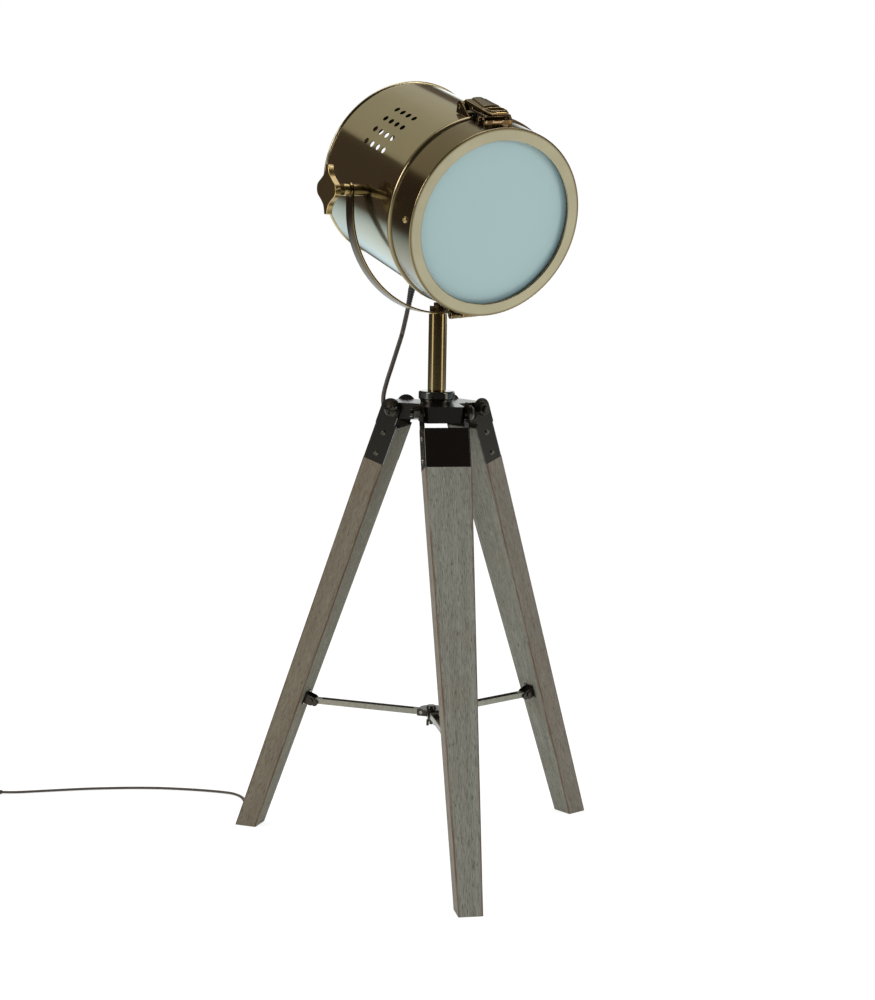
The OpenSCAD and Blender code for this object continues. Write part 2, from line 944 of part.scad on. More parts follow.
// lever: pivot roll at the rear, rimmed plate above the drum
module latch_lever() {
    hw = latch_w / 2;
    color("#463823")
        on_head(latch_angle)
            difference() {
                union() {
                    translate([latch_pin_r, 19, latch_pin_a])
                        rotate([90, 0, 0])
                            cylinder(r = 2, h = 38, $fn = 32);
                    translate([latch_pin_r, hw, latch_pin_a])
                        rotate([90, 0, 0])
                            cylinder(r = 3.2, h = latch_w);
                    translate([latch_pin_r + 0.7, -hw, latch_pin_a - 1])
                        cube([2.2, latch_w, 35]);
                    for (side = [-1, 1])
                        translate([latch_pin_r - 2, side * (hw - 1) - 1, latch_pin_a])
                            cube([7.6, 2, 34]);
                    for (x = [9, 15, 21])
                        translate([latch_pin_r + 2.5, -8, latch_pin_a + x])
                            cube([1.5, 16, 2.4]);
                }
                translate([bail_pin_r, 30, bail_pin_a])
                    rotate([90, 0, 0])
                        cylinder(r = 1.3, h = 60, $fn = 32);
            }
}

// wire bail from the lever to the keeper's catch
module latch_bail() {
    hy = latch_w / 2 + 2.2;
    color("#5c4a2a")
        on_head(latch_angle) {
            for (side = [-1, 1]) {
                translate([bail_pin_r, side * hy, bail_pin_a])
                    bail_side();
                translate([bail_pin_r, side * (hy - 1.9) - 2.1, bail_pin_a])
                    rotate([-90, 0, 0])
                        cylinder(r = 1.25, h = 4.2, $fn = 32);
            }
            translate([bail_pin_r, -hy, catch_a])
                rotate([-90, 0, 0])
                    cylinder(r = 1.5, h = 2 * hy, $fn = 32);
        }
}

module bail_side() {
    cylinder(r = 1.5, h = catch_a - bail_pin_a, $fn = 32);
    for (z = [0, catch_a - bail_pin_a])
        translate([0, 0, z])
            sphere(r = 1.5, $fn = 32);
}

// keeper: curved foot on the band, end blocks and a ramped catch
module latch_keeper() {
    color("#463823")
        on_head(latch_angle)
            difference() {
                union() {
                    intersection() {
                        translate([0, 0, catch_a - 12])
                            ring(bezel_r + 2, bezel_r + 0.05, 26, 240);
                        translate([bezel_r - 13, -19, catch_a - 12])
                            cube([30, 38, 26]);
                    }
                    translate([bezel_r - 1, -12, catch_a - 12])
                        cube([10.6, 24, 16]);
                }
                cylinder(r = bezel_r + 0.05, h = 130, $fn = 128);
                // ramp that the bail's bar rests on
                translate([bail_pin_r, -20, catch_a])
                    rotate([0, 32, 0])
                        translate([-1.8, 0, -20])
                            cube([20, 40, 40]);
            }
}

// ---------- cords ----------

// elliptical tube with its thin direction blended from one vector to another
function unit(v) = v / norm(v);
function flex_ring(p, t, thin, w, h, n) =
    let (side = unit(cross(t, thin)), up = unit(cross(side, t)))
    [for (k = [0:n - 1]) p + side * w / 2 * cos(360 * k / n) + up * h / 2 * sin(360 * k / n)];

module flex(path, thin_a, thin_b, n = 8) {
    last = len(path) - 1;
    rings = [for (i = [0:last])
        let (a = path[max(i - 1, 0)], b = path[min(i + 1, last)], f = i / last)
        each flex_ring(path[i], unit(b - a), thin_a * (1 - f) + thin_b * f, flex_w, flex_t, n)];
    sides = [for (i = [0:last - 1], k = [0:n - 1])
        let (k2 = (k + 1) % n)
        each [[i * n + k, i * n + k2, (i + 1) * n + k2], [i * n + k, (i + 1) * n + k2, (i + 1) * n + k]]];
    first_cap = [for (k = [1:n - 2]) [0, k + 1, k]];
    last_cap = [for (k = [1:n - 2]) [last * n, last * n + k, last * n + k + 1]];
    polyhedron(points = rings, faces = concat(sides, first_cap, last_cap));
}

leg_side = [0.5, 0.866, 0];

module cord_drop() {
    color("#2b1f19")
        flex(drop_route, [0.3, 1, 0], leg_side);
}

// point on the far side face of the left leg, s below its hinge
function leg_side_point(s, x) =
    let (r = hinge_r + s * sin(leg_lean) + x * cos(leg_lean),
         t = -(s < bracket_low ? bracket_w / 2 : leg_width(s) / 2) - flex_t / 2 - 0.12)
    [r * cos(150) - t * sin(150), r * sin(150) + t * cos(150),
     hinge_z - s * cos(leg_lean) + x * sin(leg_lean)];

leg_route = [for (s = [42, 60, 80, 100, 130, 160, 190, 220, 250, 280, 310, 340, 370, 400, 430,
    460, 490, 505, 517]) leg_side_point(s, 3 + 5 * min(1, max(0, (110 - s) / 50)))];

module cord_leg() {
    color("#2b1f19")
        flex(leg_route, leg_side, leg_side);
}

module cord_floor() {
    color("#2b1f19")
        flex(floor_route, leg_side, [0, 0, 1]);
}

coil_last = round(coil_turns * coil_steps);
coil_path = [for (i = [1:coil_last])
    let (a = -90 - 360 * i / coil_steps, f = i / coil_steps)
    [coil_c[0] + coil_r * cos(a), coil_c[1] + coil_r * sin(a), 1.8 + coil_rise * f]];

module cord_coil() {
    color("#2b1f19")
        flex(concat(lead_route, coil_path, tail_route), [0, 0, 1], [0, 0, 1], 6);
}

module cable_clips() {
    color("#141312")
        for (s = [150, 300, 450])
            at_leg(150)
                translate([3, -leg_width(s) / 2, -s])
                    rotate([2.5 * 0, 0, 0])
                        clip();
}

module clip() {
    difference() {
        translate([-9, -4.6, -3])
            cube([18, 4.5, 6]);
        translate([-3.2, -3.9, -5])
            cube([6.4, 6, 10]);
    }
}

// ---------- switch and plug ----------

module at_rocker() {
    translate([switch_c[0], switch_c[1], 12])
        children();
}

module switch_body() {
    color("#141312")
        difference() {
            translate([switch_c[0], switch_c[1], 0]) {
                linear_extrude(13)
                    rounded(switch_l - 0.2, 25, 8);
                translate([0, 0, 12.9])
                    linear_extrude(2.1)
                        rounded(40, 20, 4);
            }
            at_rocker() {
                translate([-9, -6, -6])
                    cube([18, 12, 12]);
                translate([0, 7, 0])
                    rotate([90, 0, 0])
                        cylinder(r = 1.05, h = 14, $fn = 32);
            }
        }
}

module switch_rocker() {
    color("#2a2725")
        at_rocker()
            rotate([0, 7, 0])
                rotate([90, 0, 0]) {
                    translate([0, 0, -5.7])
                        linear_extrude(11.4)
                            polygon([[-8.4, -3], [8.4, -3], [8.4, 3.6], [0, 2.2], [-8.4, 3.6]]);
                    translate([0, 0, -6.7])
                        cylinder(r = 1, h = 13.4, $fn = 32);
                }
}

// plug frame: y towards the pins
module at_plug() {
    translate([plug_c[0], plug_c[1], 0])
        rotate([0, 0, -90])
            children();
}

module plug() {
    color("#141312")
        at_plug() {
            translate([0, 0, 0.05])
                linear_extrude(14)
                    rounded(35, 30, 5);
            translate([0, -14.9, 7])
                rotate([90, 0, 0])
                    cylinder(r1 = 6.5, r2 = 4, h = 8);
        }
}

module plug_pins() {
    color("#b9b4a8")
        at_plug()
            for (side = [-1, 1])
                translate([side * 9.5, 15.1, 7])
                    rotate([-90, 0, 0])
                        cylinder(r = 2, h = 19, $fn = 32);
}

hub();
hub_collar();
pole();
nipple();
lock_nut();
leg(-90);  // leg_front
leg(150);  // leg_left
leg(30);  // leg_right
leg_bracket(-90);  // bracket_front
leg_bracket(150);  // bracket_left
leg_bracket(30);  // bracket_right
hinge_bolt(-90);  // hinge_bolt_front
hinge_bolt(150);  // hinge_bolt_left
hinge_bolt(30);  // hinge_bolt_right
hinge_nut(-90);  // hinge_nut_front
hinge_nut(150);  // hinge_nut_left
hinge_nut(30);  // hinge_nut_right
leg_screws(-90);  // screws_front
leg_screws(150);  // screws_left
leg_screws(30);  // screws_right
stay_bracket(-90);  // stay_bracket_front
stay_bracket(150);  // stay_bracket_left
stay_bracket(30);  // stay_bracket_right
stay_hub();
stay_pins();
stay_nut();
stay_bar(-90);  // stay_front
stay_bar(150);  // stay_left
stay_bar(30);  // stay_right
yoke_strap();
yoke_washers();
knob(-1);  // knob_left
knob(1);  // knob_right
drum();
rear_bridge();
lampholder();
bulb();
pivot_bosses();
cord_gland();
latch_base();
hinge_leaf_drum();
hinge_pin();
bezel();
glass();
glass_seal();
glass_clips();
bezel_screws();
hinge_leaf_bezel();
latch_keeper();
latch_lever();
latch_bail();
cable_clips();
cord_drop();
cord_leg();
cord_floor();
cord_coil();
switch_body();
switch_rocker();
plug();
plug_pins();
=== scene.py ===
# Tripod spotlight floor lamp, dressed for the picture.
# Metres, +Z up, the front leg along -Y. Outlines and routes are in millimetres.
import math

import bmesh
import bpy
from mathutils import Matrix, Vector


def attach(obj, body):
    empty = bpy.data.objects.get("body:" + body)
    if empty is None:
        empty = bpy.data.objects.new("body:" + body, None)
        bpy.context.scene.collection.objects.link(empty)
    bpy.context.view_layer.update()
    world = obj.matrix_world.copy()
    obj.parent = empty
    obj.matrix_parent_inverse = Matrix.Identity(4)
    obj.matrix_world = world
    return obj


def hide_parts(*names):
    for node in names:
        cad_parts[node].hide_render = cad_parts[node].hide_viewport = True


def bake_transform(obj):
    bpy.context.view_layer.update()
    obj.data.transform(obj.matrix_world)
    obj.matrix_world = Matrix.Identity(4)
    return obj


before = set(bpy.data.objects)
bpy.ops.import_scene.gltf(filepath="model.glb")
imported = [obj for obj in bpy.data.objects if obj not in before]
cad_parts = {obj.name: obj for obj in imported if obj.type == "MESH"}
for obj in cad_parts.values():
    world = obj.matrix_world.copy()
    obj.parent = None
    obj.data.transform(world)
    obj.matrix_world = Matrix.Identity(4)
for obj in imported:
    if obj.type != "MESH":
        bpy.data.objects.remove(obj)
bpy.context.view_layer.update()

# ---- Camera ----
# Stands 2.3 m off, level with the drum, a little to the left of the front leg,
# and looks slightly down.

EYE = Vector((-0.4285, -2.2471, 0.74615))
LOOK_PITCH = 0.148738
LOOK_ROLL = 0.0170626
LOOK_TURN = -0.1897181
LENS_MM, SENSOR_MM = 73.936, 36

forward = Vector((0, math.cos(LOOK_PITCH), -math.sin(LOOK_PITCH)))
upward = Vector((0, math.sin(LOOK_PITCH), math.cos(LOOK_PITCH)))
right = Vector((1, 0, 0))
tilted_right = right * math.cos(LOOK_ROLL) + upward * math.sin(LOOK_ROLL)
tilted_up = -right * math.sin(LOOK_ROLL) + upward * math.cos(LOOK_ROLL)
camera_data = bpy.data.cameras.new("camera")
camera_data.lens = LENS_MM
camera_data.sensor_width = SENSOR_MM
camera = bpy.data.objects.new("camera", camera_data)
bpy.context.scene.collection.objects.link(camera)
axes = Matrix((tilted_right, tilted_up, -forward)).transposed().to_4x4()
camera.matrix_world = Matrix.Translation(EYE) @ Matrix.Rotation(LOOK_TURN, 4, "Z") @ axes
bpy.context.scene.camera = camera

# ---- Flat twin flex ----
# Two-core flat lamp cord in dark brown PVC, 5.3 by 3.2 mm, extruded with a groove
# between its cores. It drops from the drum, runs down the left leg under three
# clips, crosses the floor to the switch, and ends in a neat coil and the plug.

FLEX_WIDE = 0.0053
FLEX_THICK = 0.0032
UP = Vector((0, 0, 1))
LEG_SIDE = Vector((0.5, 0.866, 0))
# the legs, in millimetres: each leans out from its hinge and tapers evenly, and its
# top is wrapped in a bracket; the left one stands 150 degrees round from +X
LEG_LEAN, LEFT_TURN = math.radians(19.8), math.radians(150)
HINGE_R, HINGE_Z = 43, 506.5
LEG_LONG, LEG_TOP_WIDE, LEG_FOOT_WIDE = 543, 55.5, 26.8
BRACKET_WIDE, BRACKET_LONG = 52, 63.5
# the flex clears the wood by 0.12 mm, and lies 1.7 to 1.8 mm up on the floor
FLEX_CLEAR = 0.12
COIL_X, COIL_Y, COIL_R = -612, 297, 29
COIL_TURNS, COIL_STEPS, COIL_RISE = 4.5, 24, 3.8


def linear(hex_colour):
    """An sRGB colour like #aabbcc as linear red, green, blue and alpha."""
    parts = [int(hex_colour[i:i + 2], 16) / 255 for i in (1, 3, 5)]
    return [p / 12.92 if p <= 0.04045 else ((p + 0.055) / 1.055) ** 2.4 for p in parts] + [1]


def add(tree, kind, inputs=None, **settings):
    """A node with its settings, and with values or links on its inputs."""
    node = tree.nodes.new(kind)
    for name, value in settings.items():
        setattr(node, name, value)
    for name, value in (inputs or {}).items():
        if isinstance(value, bpy.types.NodeSocket):
            tree.links.new(value, node.inputs[name])
        else:
            node.inputs[name].default_value = value
    return node


def new_finish(name):
    """An empty node material: the material, its tree and its output node."""
    material = bpy.data.materials.new(name)
    material.use_nodes = True
    material.node_tree.nodes.clear()
    return material, material.node_tree, add(material.node_tree, "ShaderNodeOutputMaterial")


def smooth_run(points, per_span):
    """Catmull-Rom points through a given route."""
    pts = [Vector(p) for p in points]
    out = []
    for i in range(len(pts) - 1):
        a, b, c, d = pts[max(i - 1, 0)], pts[i], pts[i + 1], pts[min(i + 2, len(pts) - 1)]
        for k in range(per_span):
            t = k / per_span
            out.append(0.5 * (2 * b + (c - a) * t + (2 * a - 5 * b + 4 * c - d) * t * t
                              + (3 * b - a - 3 * c + d) * t ** 3))
    return out + [pts[-1]]


def flex_section(n):
    """Figure-of-eight outline of the twin flex, as shares of its half sizes."""
    angles = [2 * math.pi * k / n for k in range(n)]
    return [(math.cos(a), math.sin(a) * (1 - 0.22 * abs(math.sin(a)) ** 6)) for a in angles]


def loft(mesh, rings):
    """Joins a row of closed rings with faces, and closes both ends."""
    n = len(rings[0])
    for a, b in zip(rings, rings[1:]):
        for k in range(n):
            mesh.faces.new((a[k], a[(k + 1) % n], b[(k + 1) % n], b[k]))
    mesh.faces.new(list(reversed(rings[0])))
    mesh.faces.new(rings[-1])


def flex_piece(name, run, thin, first, last, sides=16):
    """Tube along part of a run, its thin side turned as the run's own list says."""
    outline = flex_section(sides)
    mesh = bmesh.new()
    rings = []
    for i in range(first, last + 1):
        tangent = (run[min(i + 1, len(run) - 1)] - run[max(i - 1, 0)]).normalized()
        side = tangent.cross(thin[i]).normalized()
        up = side.cross(tangent).normalized()
        rings.append([mesh.verts.new(run[i] + side * x * FLEX_WIDE / 2 + up * y * FLEX_THICK / 2)
                      for x, y in outline])
    loft(mesh, rings)
    mesh.normal_update()
    data = bpy.data.meshes.new(name)
    mesh.to_mesh(data)
    mesh.free()
    for polygon in data.polygons:
        polygon.use_smooth = len(polygon.vertices) == 4
    data.materials.append(flex_finish)
    piece = bpy.data.objects.new(name, data)
    bpy.context.scene.collection.objects.link(piece)
    return piece


# brown PVC, extruded: smooth and a little waxy, almost black, with a faint dust that
# shows as 7 mm clouds
flex_finish, tree, out = new_finish("brown PVC flex")
where = add(tree, "ShaderNodeTexCoord")
dust = add(tree, "ShaderNodeTexNoise", {"Vector": where.outputs["Object"], "Scale": 140, "Detail": 4})
shade = add(tree, "ShaderNodeMix", {0: dust.outputs["Fac"], 6: linear("#2b221b"), 7: linear("#3b3027")},
            data_type="RGBA")
sheath = add(tree, "ShaderNodeBump", {"Height": dust.outputs["Fac"], "Strength": 0.05, "Distance": 0.0002})
surface = add(tree, "ShaderNodeBsdfPrincipled", {"Base Color": shade.outputs[2], "Roughness": 0.42,
                                                 "Normal": sheath.outputs["Normal"]})
tree.links.new(surface.outputs[0], out.inputs["Surface"])

drop_route = [
    (-20, 56.3, 637.6), (-21.2, 58.6, 629), (-22.8, 60.6, 618), (-25.3, 62.6, 604),
    (-29.2, 64.6, 585), (-34.4, 66, 567), (-39.8, 66.8, 549), (-45.4, 67, 531),
    (-49.4, 66.2, 514), (-48.6, 63.8, 499), (-44.9, 59.6, 484), (-41.1, 55.9, 473.6)]
floor_route = [
    (-186, 127, 13.5), (-188.6, 132, 7), (-191, 140, 3.2),
    (-193, 150, 1.8), (-194.5, 164, 1.7), (-194.6, 180, 1.7), (-194.4, 196, 1.7),
    (-196.4, 211, 1.7), (-202.6, 224.4, 1.7), (-213, 234, 1.7), (-238, 246, 1.7),
    (-267, 256.5, 1.7), (-296, 264.5, 1.7), (-326, 269.5, 1.7), (-356, 272, 1.7),
    (-385, 273, 1.7), (-415, 272, 1.7), (-444, 270.5, 1.7), (-470, 269.2, 1.8),
    (-490, 268.4, 3), (-502, 268.1, 5), (-509.6, 268, 6)]
lead_route = [(-572.4, 268, 6), (-580, 268, 5), (-590, 268, 3), (-602, 268, 2)]
tail_route = [(-604.5, 326.2, 18.2), (-596, 326.8, 15.5), (-587, 327.5, 11.5), (-578, 328, 8.2),
              (-570.1, 328, 7)]
leg_marks = [42, 60, 80, 100, 130, 160, 190, 220, 250, 280, 310, 340, 370, 400, 430,
             460, 490, 505, 517]


def leg_half_width(s):
    """Half the width of the left leg, with its bracket, s millimetres down from the hinge."""
    if s < BRACKET_LONG:
        return BRACKET_WIDE / 2
    return (LEG_TOP_WIDE - (LEG_TOP_WIDE - LEG_FOOT_WIDE) * s / LEG_LONG) / 2


def beside_left_leg(s):
    """Centre of the flex s millimetres down the far side of the left leg."""
    # it starts 8 mm out from the leg's middle and lies 3 mm out below the bracket
    x = 3 + 5 * min(1, max(0, (110 - s) / 50))
    r = HINGE_R + s * math.sin(LEG_LEAN) + x * math.cos(LEG_LEAN)
    t = -leg_half_width(s) - FLEX_THICK * 500 - FLEX_CLEAR
    return (r * math.cos(LEFT_TURN) - t * math.sin(LEFT_TURN),
            r * math.sin(LEFT_TURN) + t * math.cos(LEFT_TURN),
            HINGE_Z - s * math.cos(LEG_LEAN) + x * math.sin(LEG_LEAN))


def round_coil(i):
    """Place of a step round the coil, which starts on its front side and climbs."""
    a = math.radians(-90 - 360 / COIL_STEPS * i)
    return COIL_X + COIL_R * math.cos(a), COIL_Y + COIL_R * math.sin(a), 1.8 + COIL_RISE * i / COIL_STEPS


def in_metres(route):
    return [Vector(p) / 1000 for p in route]


def runs_to(run, point):
    """Index of the run's point nearest to a place."""
    return min(range(len(run)), key=lambda i: (run[i] - point).length)


coil_route = [round_coil(i) for i in range(1, int(COIL_TURNS * COIL_STEPS) + 1)]
to_leg = in_metres(drop_route)
on_leg = in_metres([beside_left_leg(s) for s in leg_marks])
to_switch = in_metres(floor_route)
first_run = smooth_run(to_leg + on_leg + to_switch, 4)
first_thin = smooth_run([Vector((0.3, 1, 0)).lerp(LEG_SIDE, min(1, i / 9)) for i in range(len(to_leg))]
                        + [LEG_SIDE] * len(on_leg)
                        + [LEG_SIDE.lerp(UP, min(1, i / 9)) for i in range(len(to_switch))], 4)
last_run = smooth_run(in_metres(lead_route + coil_route + tail_route), 2)
last_thin = [UP] * len(last_run)

# it is cut into six pieces: under the drum, down past the yoke, over the leg's hinge,
# down the leg, round the foot, and across the floor
yoke_end = runs_to(first_run, to_leg[4])
stand_end = runs_to(first_run, to_leg[10])
clip_end = runs_to(first_run, on_leg[2])
foot_start = runs_to(first_run, on_leg[-3])
foot_end = runs_to(first_run, to_switch[12])
flex_head = flex_piece("flex_head", first_run, first_thin, 0, yoke_end)
flex_pan = flex_piece("flex_pan", first_run, first_thin, yoke_end, stand_end)
flex_hinge = flex_piece("flex_hinge", first_run, first_thin, stand_end, clip_end)
flex_leg = flex_piece("flex_leg", first_run, first_thin, clip_end, foot_start)
flex_foot = flex_piece("flex_foot", first_run, first_thin, foot_start, foot_end)
flex_floor = flex_piece("flex_floor", first_run, first_thin, foot_end, len(first_run) - 1)
flex_coil = flex_piece("flex_coil", last_run, last_thin, 0, len(last_run) - 1, 12)
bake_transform(flex_head)
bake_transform(flex_pan)
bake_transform(flex_hinge)
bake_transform(flex_foot)
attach(flex_leg, "leg_left")
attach(flex_floor, "stand")
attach(flex_coil, "stand")
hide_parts("cord_drop")
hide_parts("cord_drop")
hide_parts("cord_drop", "cord_leg")
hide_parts("cord_leg")
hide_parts("cord_leg", "cord_floor")
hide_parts("cord_floor")
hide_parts("cord_coil")

# ---- Floor and light ----
# A plain white paper floor that keeps a soft shadow, in a white room. Three soft lamps
# at a plain level light from the left, the right and above. Polished metal sees the
# paper, two strip lamps, a dim room and a grey ceiling.

# light levels in mirrors; 1 is white
PAPER_NEAR, PAPER_FAR, PAPER_BACK = (1.7, 1.8, 1.75, 1), (0.85, 1.1, 1.22, 1), (1.3, 1.35, 1.3, 1)
DIM_ROOM, GREY_CEILING, STRIP_LIGHT = (0.10, 0.075, 0.055, 1), (0.60, 0.57, 0.44, 1), (2.6, 2.4, 1.9, 1)
STRIP_LEFT, STRIP_RIGHT = (-0.962, -0.272, 0), (0.822, -0.570, 0)


def strips_met(tree, direction):
    """How much of a mirrored ray runs to one of two tall strip lamps, which stand
    65 degrees to each side of the camera."""
    ray = add(tree, "ShaderNodeVectorMath", {0: direction}, operation="NORMALIZE")
    to_left = add(tree, "ShaderNodeVectorMath", {0: ray.outputs[0], 1: STRIP_LEFT}, operation="DOT_PRODUCT")
    to_right = add(tree, "ShaderNodeVectorMath", {0: ray.outputs[0], 1: STRIP_RIGHT}, operation="DOT_PRODUCT")
    nearer = add(tree, "ShaderNodeMath", {0: to_left.outputs["Value"], 1: to_right.outputs["Value"]},
                 operation="MAXIMUM")
    return add(tree, "ShaderNodeMapRange", {"Value": nearer.outputs[0], "From Min": 0.985, "From Max": 0.995})


# matt white background paper: white to the eye, with the lamp's soft shadow on it
floor_finish, tree, out = new_finish("white background paper")
seen = add(tree, "ShaderNodeLightPath")
matt = add(tree, "ShaderNodeBsdfDiffuse", {"Color": linear("#f4f4f2")})
shadow_part = add(tree, "ShaderNodeBsdfDiffuse", {"Color": linear("#8d8d8d")})
paper = add(tree, "ShaderNodeEmission", {"Color": linear("#ffffff"), "Strength": 0.84})
shadowed = add(tree, "ShaderNodeAddShader", {0: shadow_part.outputs[0], 1: paper.outputs[0]})
# in mirrors it is white near the lamp and bluer farther off, and it ends 4 m off to
# the front and back and 7 m to the sides; the strip lamps streak along it
spot = add(tree, "ShaderNodeTexCoord")
oval = add(tree, "ShaderNodeVectorMath", {0: spot.outputs["Object"], 1: (0.5, 0.85, 1)},
           operation="MULTIPLY")
off = add(tree, "ShaderNodeVectorMath", {0: oval.outputs[0]}, operation="LENGTH")
bluer = add(tree, "ShaderNodeMapRange", {"Value": off.outputs["Value"], "From Min": 0.7, "From Max": 2.2})
near_tone = add(tree, "ShaderNodeMix", {0: bluer.outputs[0], 6: PAPER_NEAR, 7: PAPER_FAR},
                data_type="RGBA")
paper_end = add(tree, "ShaderNodeMapRange", {"Value": off.outputs["Value"], "From Min": 2.2,
                                             "From Max": 3.4})
paper_tone = add(tree, "ShaderNodeMix", {0: paper_end.outputs[0], 6: near_tone.outputs[2], 7: DIM_ROOM},
                 data_type="RGBA")
streak = strips_met(tree, spot.outputs["Object"])
streaked = add(tree, "ShaderNodeMix", {0: streak.outputs[0], 6: paper_tone.outputs[2], 7: STRIP_LIGHT},
               data_type="RGBA")
mirrored = add(tree, "ShaderNodeEmission", {"Color": streaked.outputs[2], "Strength": 1})
looked_at = add(tree, "ShaderNodeMath", {0: seen.outputs["Is Camera Ray"],
                                         1: seen.outputs["Is Transmission Ray"]}, operation="MAXIMUM")
camera_side = add(tree, "ShaderNodeMixShader", {0: looked_at.outputs[0], 1: matt.outputs[0],
                                                2: shadowed.outputs[0]})
glossy_side = add(tree, "ShaderNodeMixShader", {0: seen.outputs["Is Glossy Ray"],
                                                1: camera_side.outputs[0], 2: mirrored.outputs[0]})
tree.links.new(glossy_side.outputs[0], out.inputs["Surface"])
floor_data = bpy.data.meshes.new("floor")
floor_data.from_pydata([(-9, -9, 0), (9, -9, 0), (9, 9, 0), (-9, 9, 0)], [], [(0, 1, 2, 3)])
floor = bpy.data.objects.new("floor", floor_data)
floor.location.z = -0.0005
bpy.context.scene.collection.objects.link(floor)
floor.data.materials.append(floor_finish)

room = bpy.data.worlds.new("room")
bpy.context.scene.world = room
room.use_nodes = True
tree = room.node_tree
tree.nodes.clear()
seen = add(tree, "ShaderNodeLightPath")
sky = add(tree, "ShaderNodeTexCoord")
parts = add(tree, "ShaderNodeSeparateXYZ", {0: sky.outputs["Generated"]})
# the ceiling starts 30 degrees up, and a low white backdrop stands behind, to the right
ceiling = add(tree, "ShaderNodeMapRange", {"Value": parts.outputs["Z"], "From Min": 0.475,
                                           "From Max": 0.50})
walls = add(tree, "ShaderNodeMix", {0: ceiling.outputs[0], 6: DIM_ROOM, 7: GREY_CEILING},
            data_type="RGBA")
to_right = add(tree, "ShaderNodeMapRange", {"Value": parts.outputs["X"], "From Min": -0.2,
                                            "From Max": 0.1})
low = add(tree, "ShaderNodeMapRange", {"Value": parts.outputs["Z"], "From Min": 0.22, "From Max": 0.30,
                                       "To Min": 1, "To Max": 0})
behind = add(tree, "ShaderNodeMapRange", {"Value": parts.outputs["Y"], "From Min": 0.0, "From Max": 0.3})
low_right = add(tree, "ShaderNodeMath", {0: to_right.outputs[0], 1: low.outputs[0]},
                operation="MULTIPLY")
backdrop = add(tree, "ShaderNodeMath", {0: low_right.outputs[0], 1: behind.outputs[0]},
               operation="MULTIPLY")
with_backdrop = add(tree, "ShaderNodeMix", {0: backdrop.outputs[0], 6: walls.outputs[2], 7: PAPER_BACK},
                    data_type="RGBA")
# the room is darker on the camera's side
front_dim = add(tree, "ShaderNodeMapRange", {"Value": parts.outputs["Y"], "From Min": -0.5,
                                             "From Max": 0.25, "To Min": 0.12, "To Max": 1.0})
lit_room = add(tree, "ShaderNodeVectorMath", {0: with_backdrop.outputs[2],
                                              "Scale": front_dim.outputs[0]}, operation="SCALE")
# the strip lamps reach up to 20 degrees
level = add(tree, "ShaderNodeVectorMath", {0: sky.outputs["Generated"], 1: (1, 1, 0)},
            operation="MULTIPLY")
strip = strips_met(tree, level.outputs[0])
strip_top = add(tree, "ShaderNodeMapRange", {"Value": parts.outputs["Z"], "From Min": 0.30,
                                             "From Max": 0.34, "To Min": 1, "To Max": 0})
strip_part = add(tree, "ShaderNodeMath", {0: strip.outputs[0], 1: strip_top.outputs[0]},
                 operation="MULTIPLY")
with_strips = add(tree, "ShaderNodeMix", {0: strip_part.outputs[0], 6: lit_room.outputs[0],
                                          7: STRIP_LIGHT}, data_type="RGBA")
gloss = add(tree, "ShaderNodeBackground", {"Color": with_strips.outputs[2], "Strength": 1})
plain = add(tree, "ShaderNodeBackground", {"Color": linear("#ffffff"), "Strength": 0.62})
white = add(tree, "ShaderNodeBackground", {"Color": linear("#ffffff"), "Strength": 1.0})
with_gloss = add(tree, "ShaderNodeMixShader", {0: seen.outputs["Is Glossy Ray"], 1: plain.outputs[0],
                                               2: gloss.outputs[0]})
looked_at = add(tree, "ShaderNodeMath", {0: seen.outputs["Is Camera Ray"],
                                         1: seen.outputs["Is Transmission Ray"]}, operation="MAXIMUM")
with_view = add(tree, "ShaderNodeMixShader", {0: looked_at.outputs[0], 1: with_gloss.outputs[0],
                                              2: white.outputs[0]})
add(tree, "ShaderNodeOutputWorld", {"Surface": with_view.outputs[0]})

for name, stands_at, size, power in (("left softbox", (-2.3, -0.9, 1.5), 1.1, 30),
                                     ("right softbox", (1.6, -1.6, 1.2), 0.5, 9),
                                     ("top softbox", (0.2, 0.3, 2.6), 1.4, 18)):
    lamp_data = bpy.data.lights.new(name, "AREA")
    lamp_data.size = size
    lamp_data.energy = power
    lamp = bpy.data.objects.new(name, lamp_data)
    lamp.location = stands_at
    lamp.rotation_euler = (Vector((0, 0, 0.5)) - Vector(stands_at)).to_track_quat("-Z", "Y").to_euler()
    bpy.context.scene.collection.objects.link(lamp)
bpy.context.scene.view_settings.view_transform = "Standard"

# ---- Legs ----
# Sawn softwood, 25 mm thick and tapered, washed grey: the wash sits in the open
# grain, and is rubbed through to red-brown along the corners. Each leg is bolted
# between the cheeks of its bracket.

# a leg's outer and inner face, from the line down through its hinge
LEG_OUT, LEG_IN = 0.0136, 0.0114


def coat(material, *names):
    """Gives solids a finish."""
    for name in names:
        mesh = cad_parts[name].data
        mesh.materials.clear()
        mesh.materials.append(material)
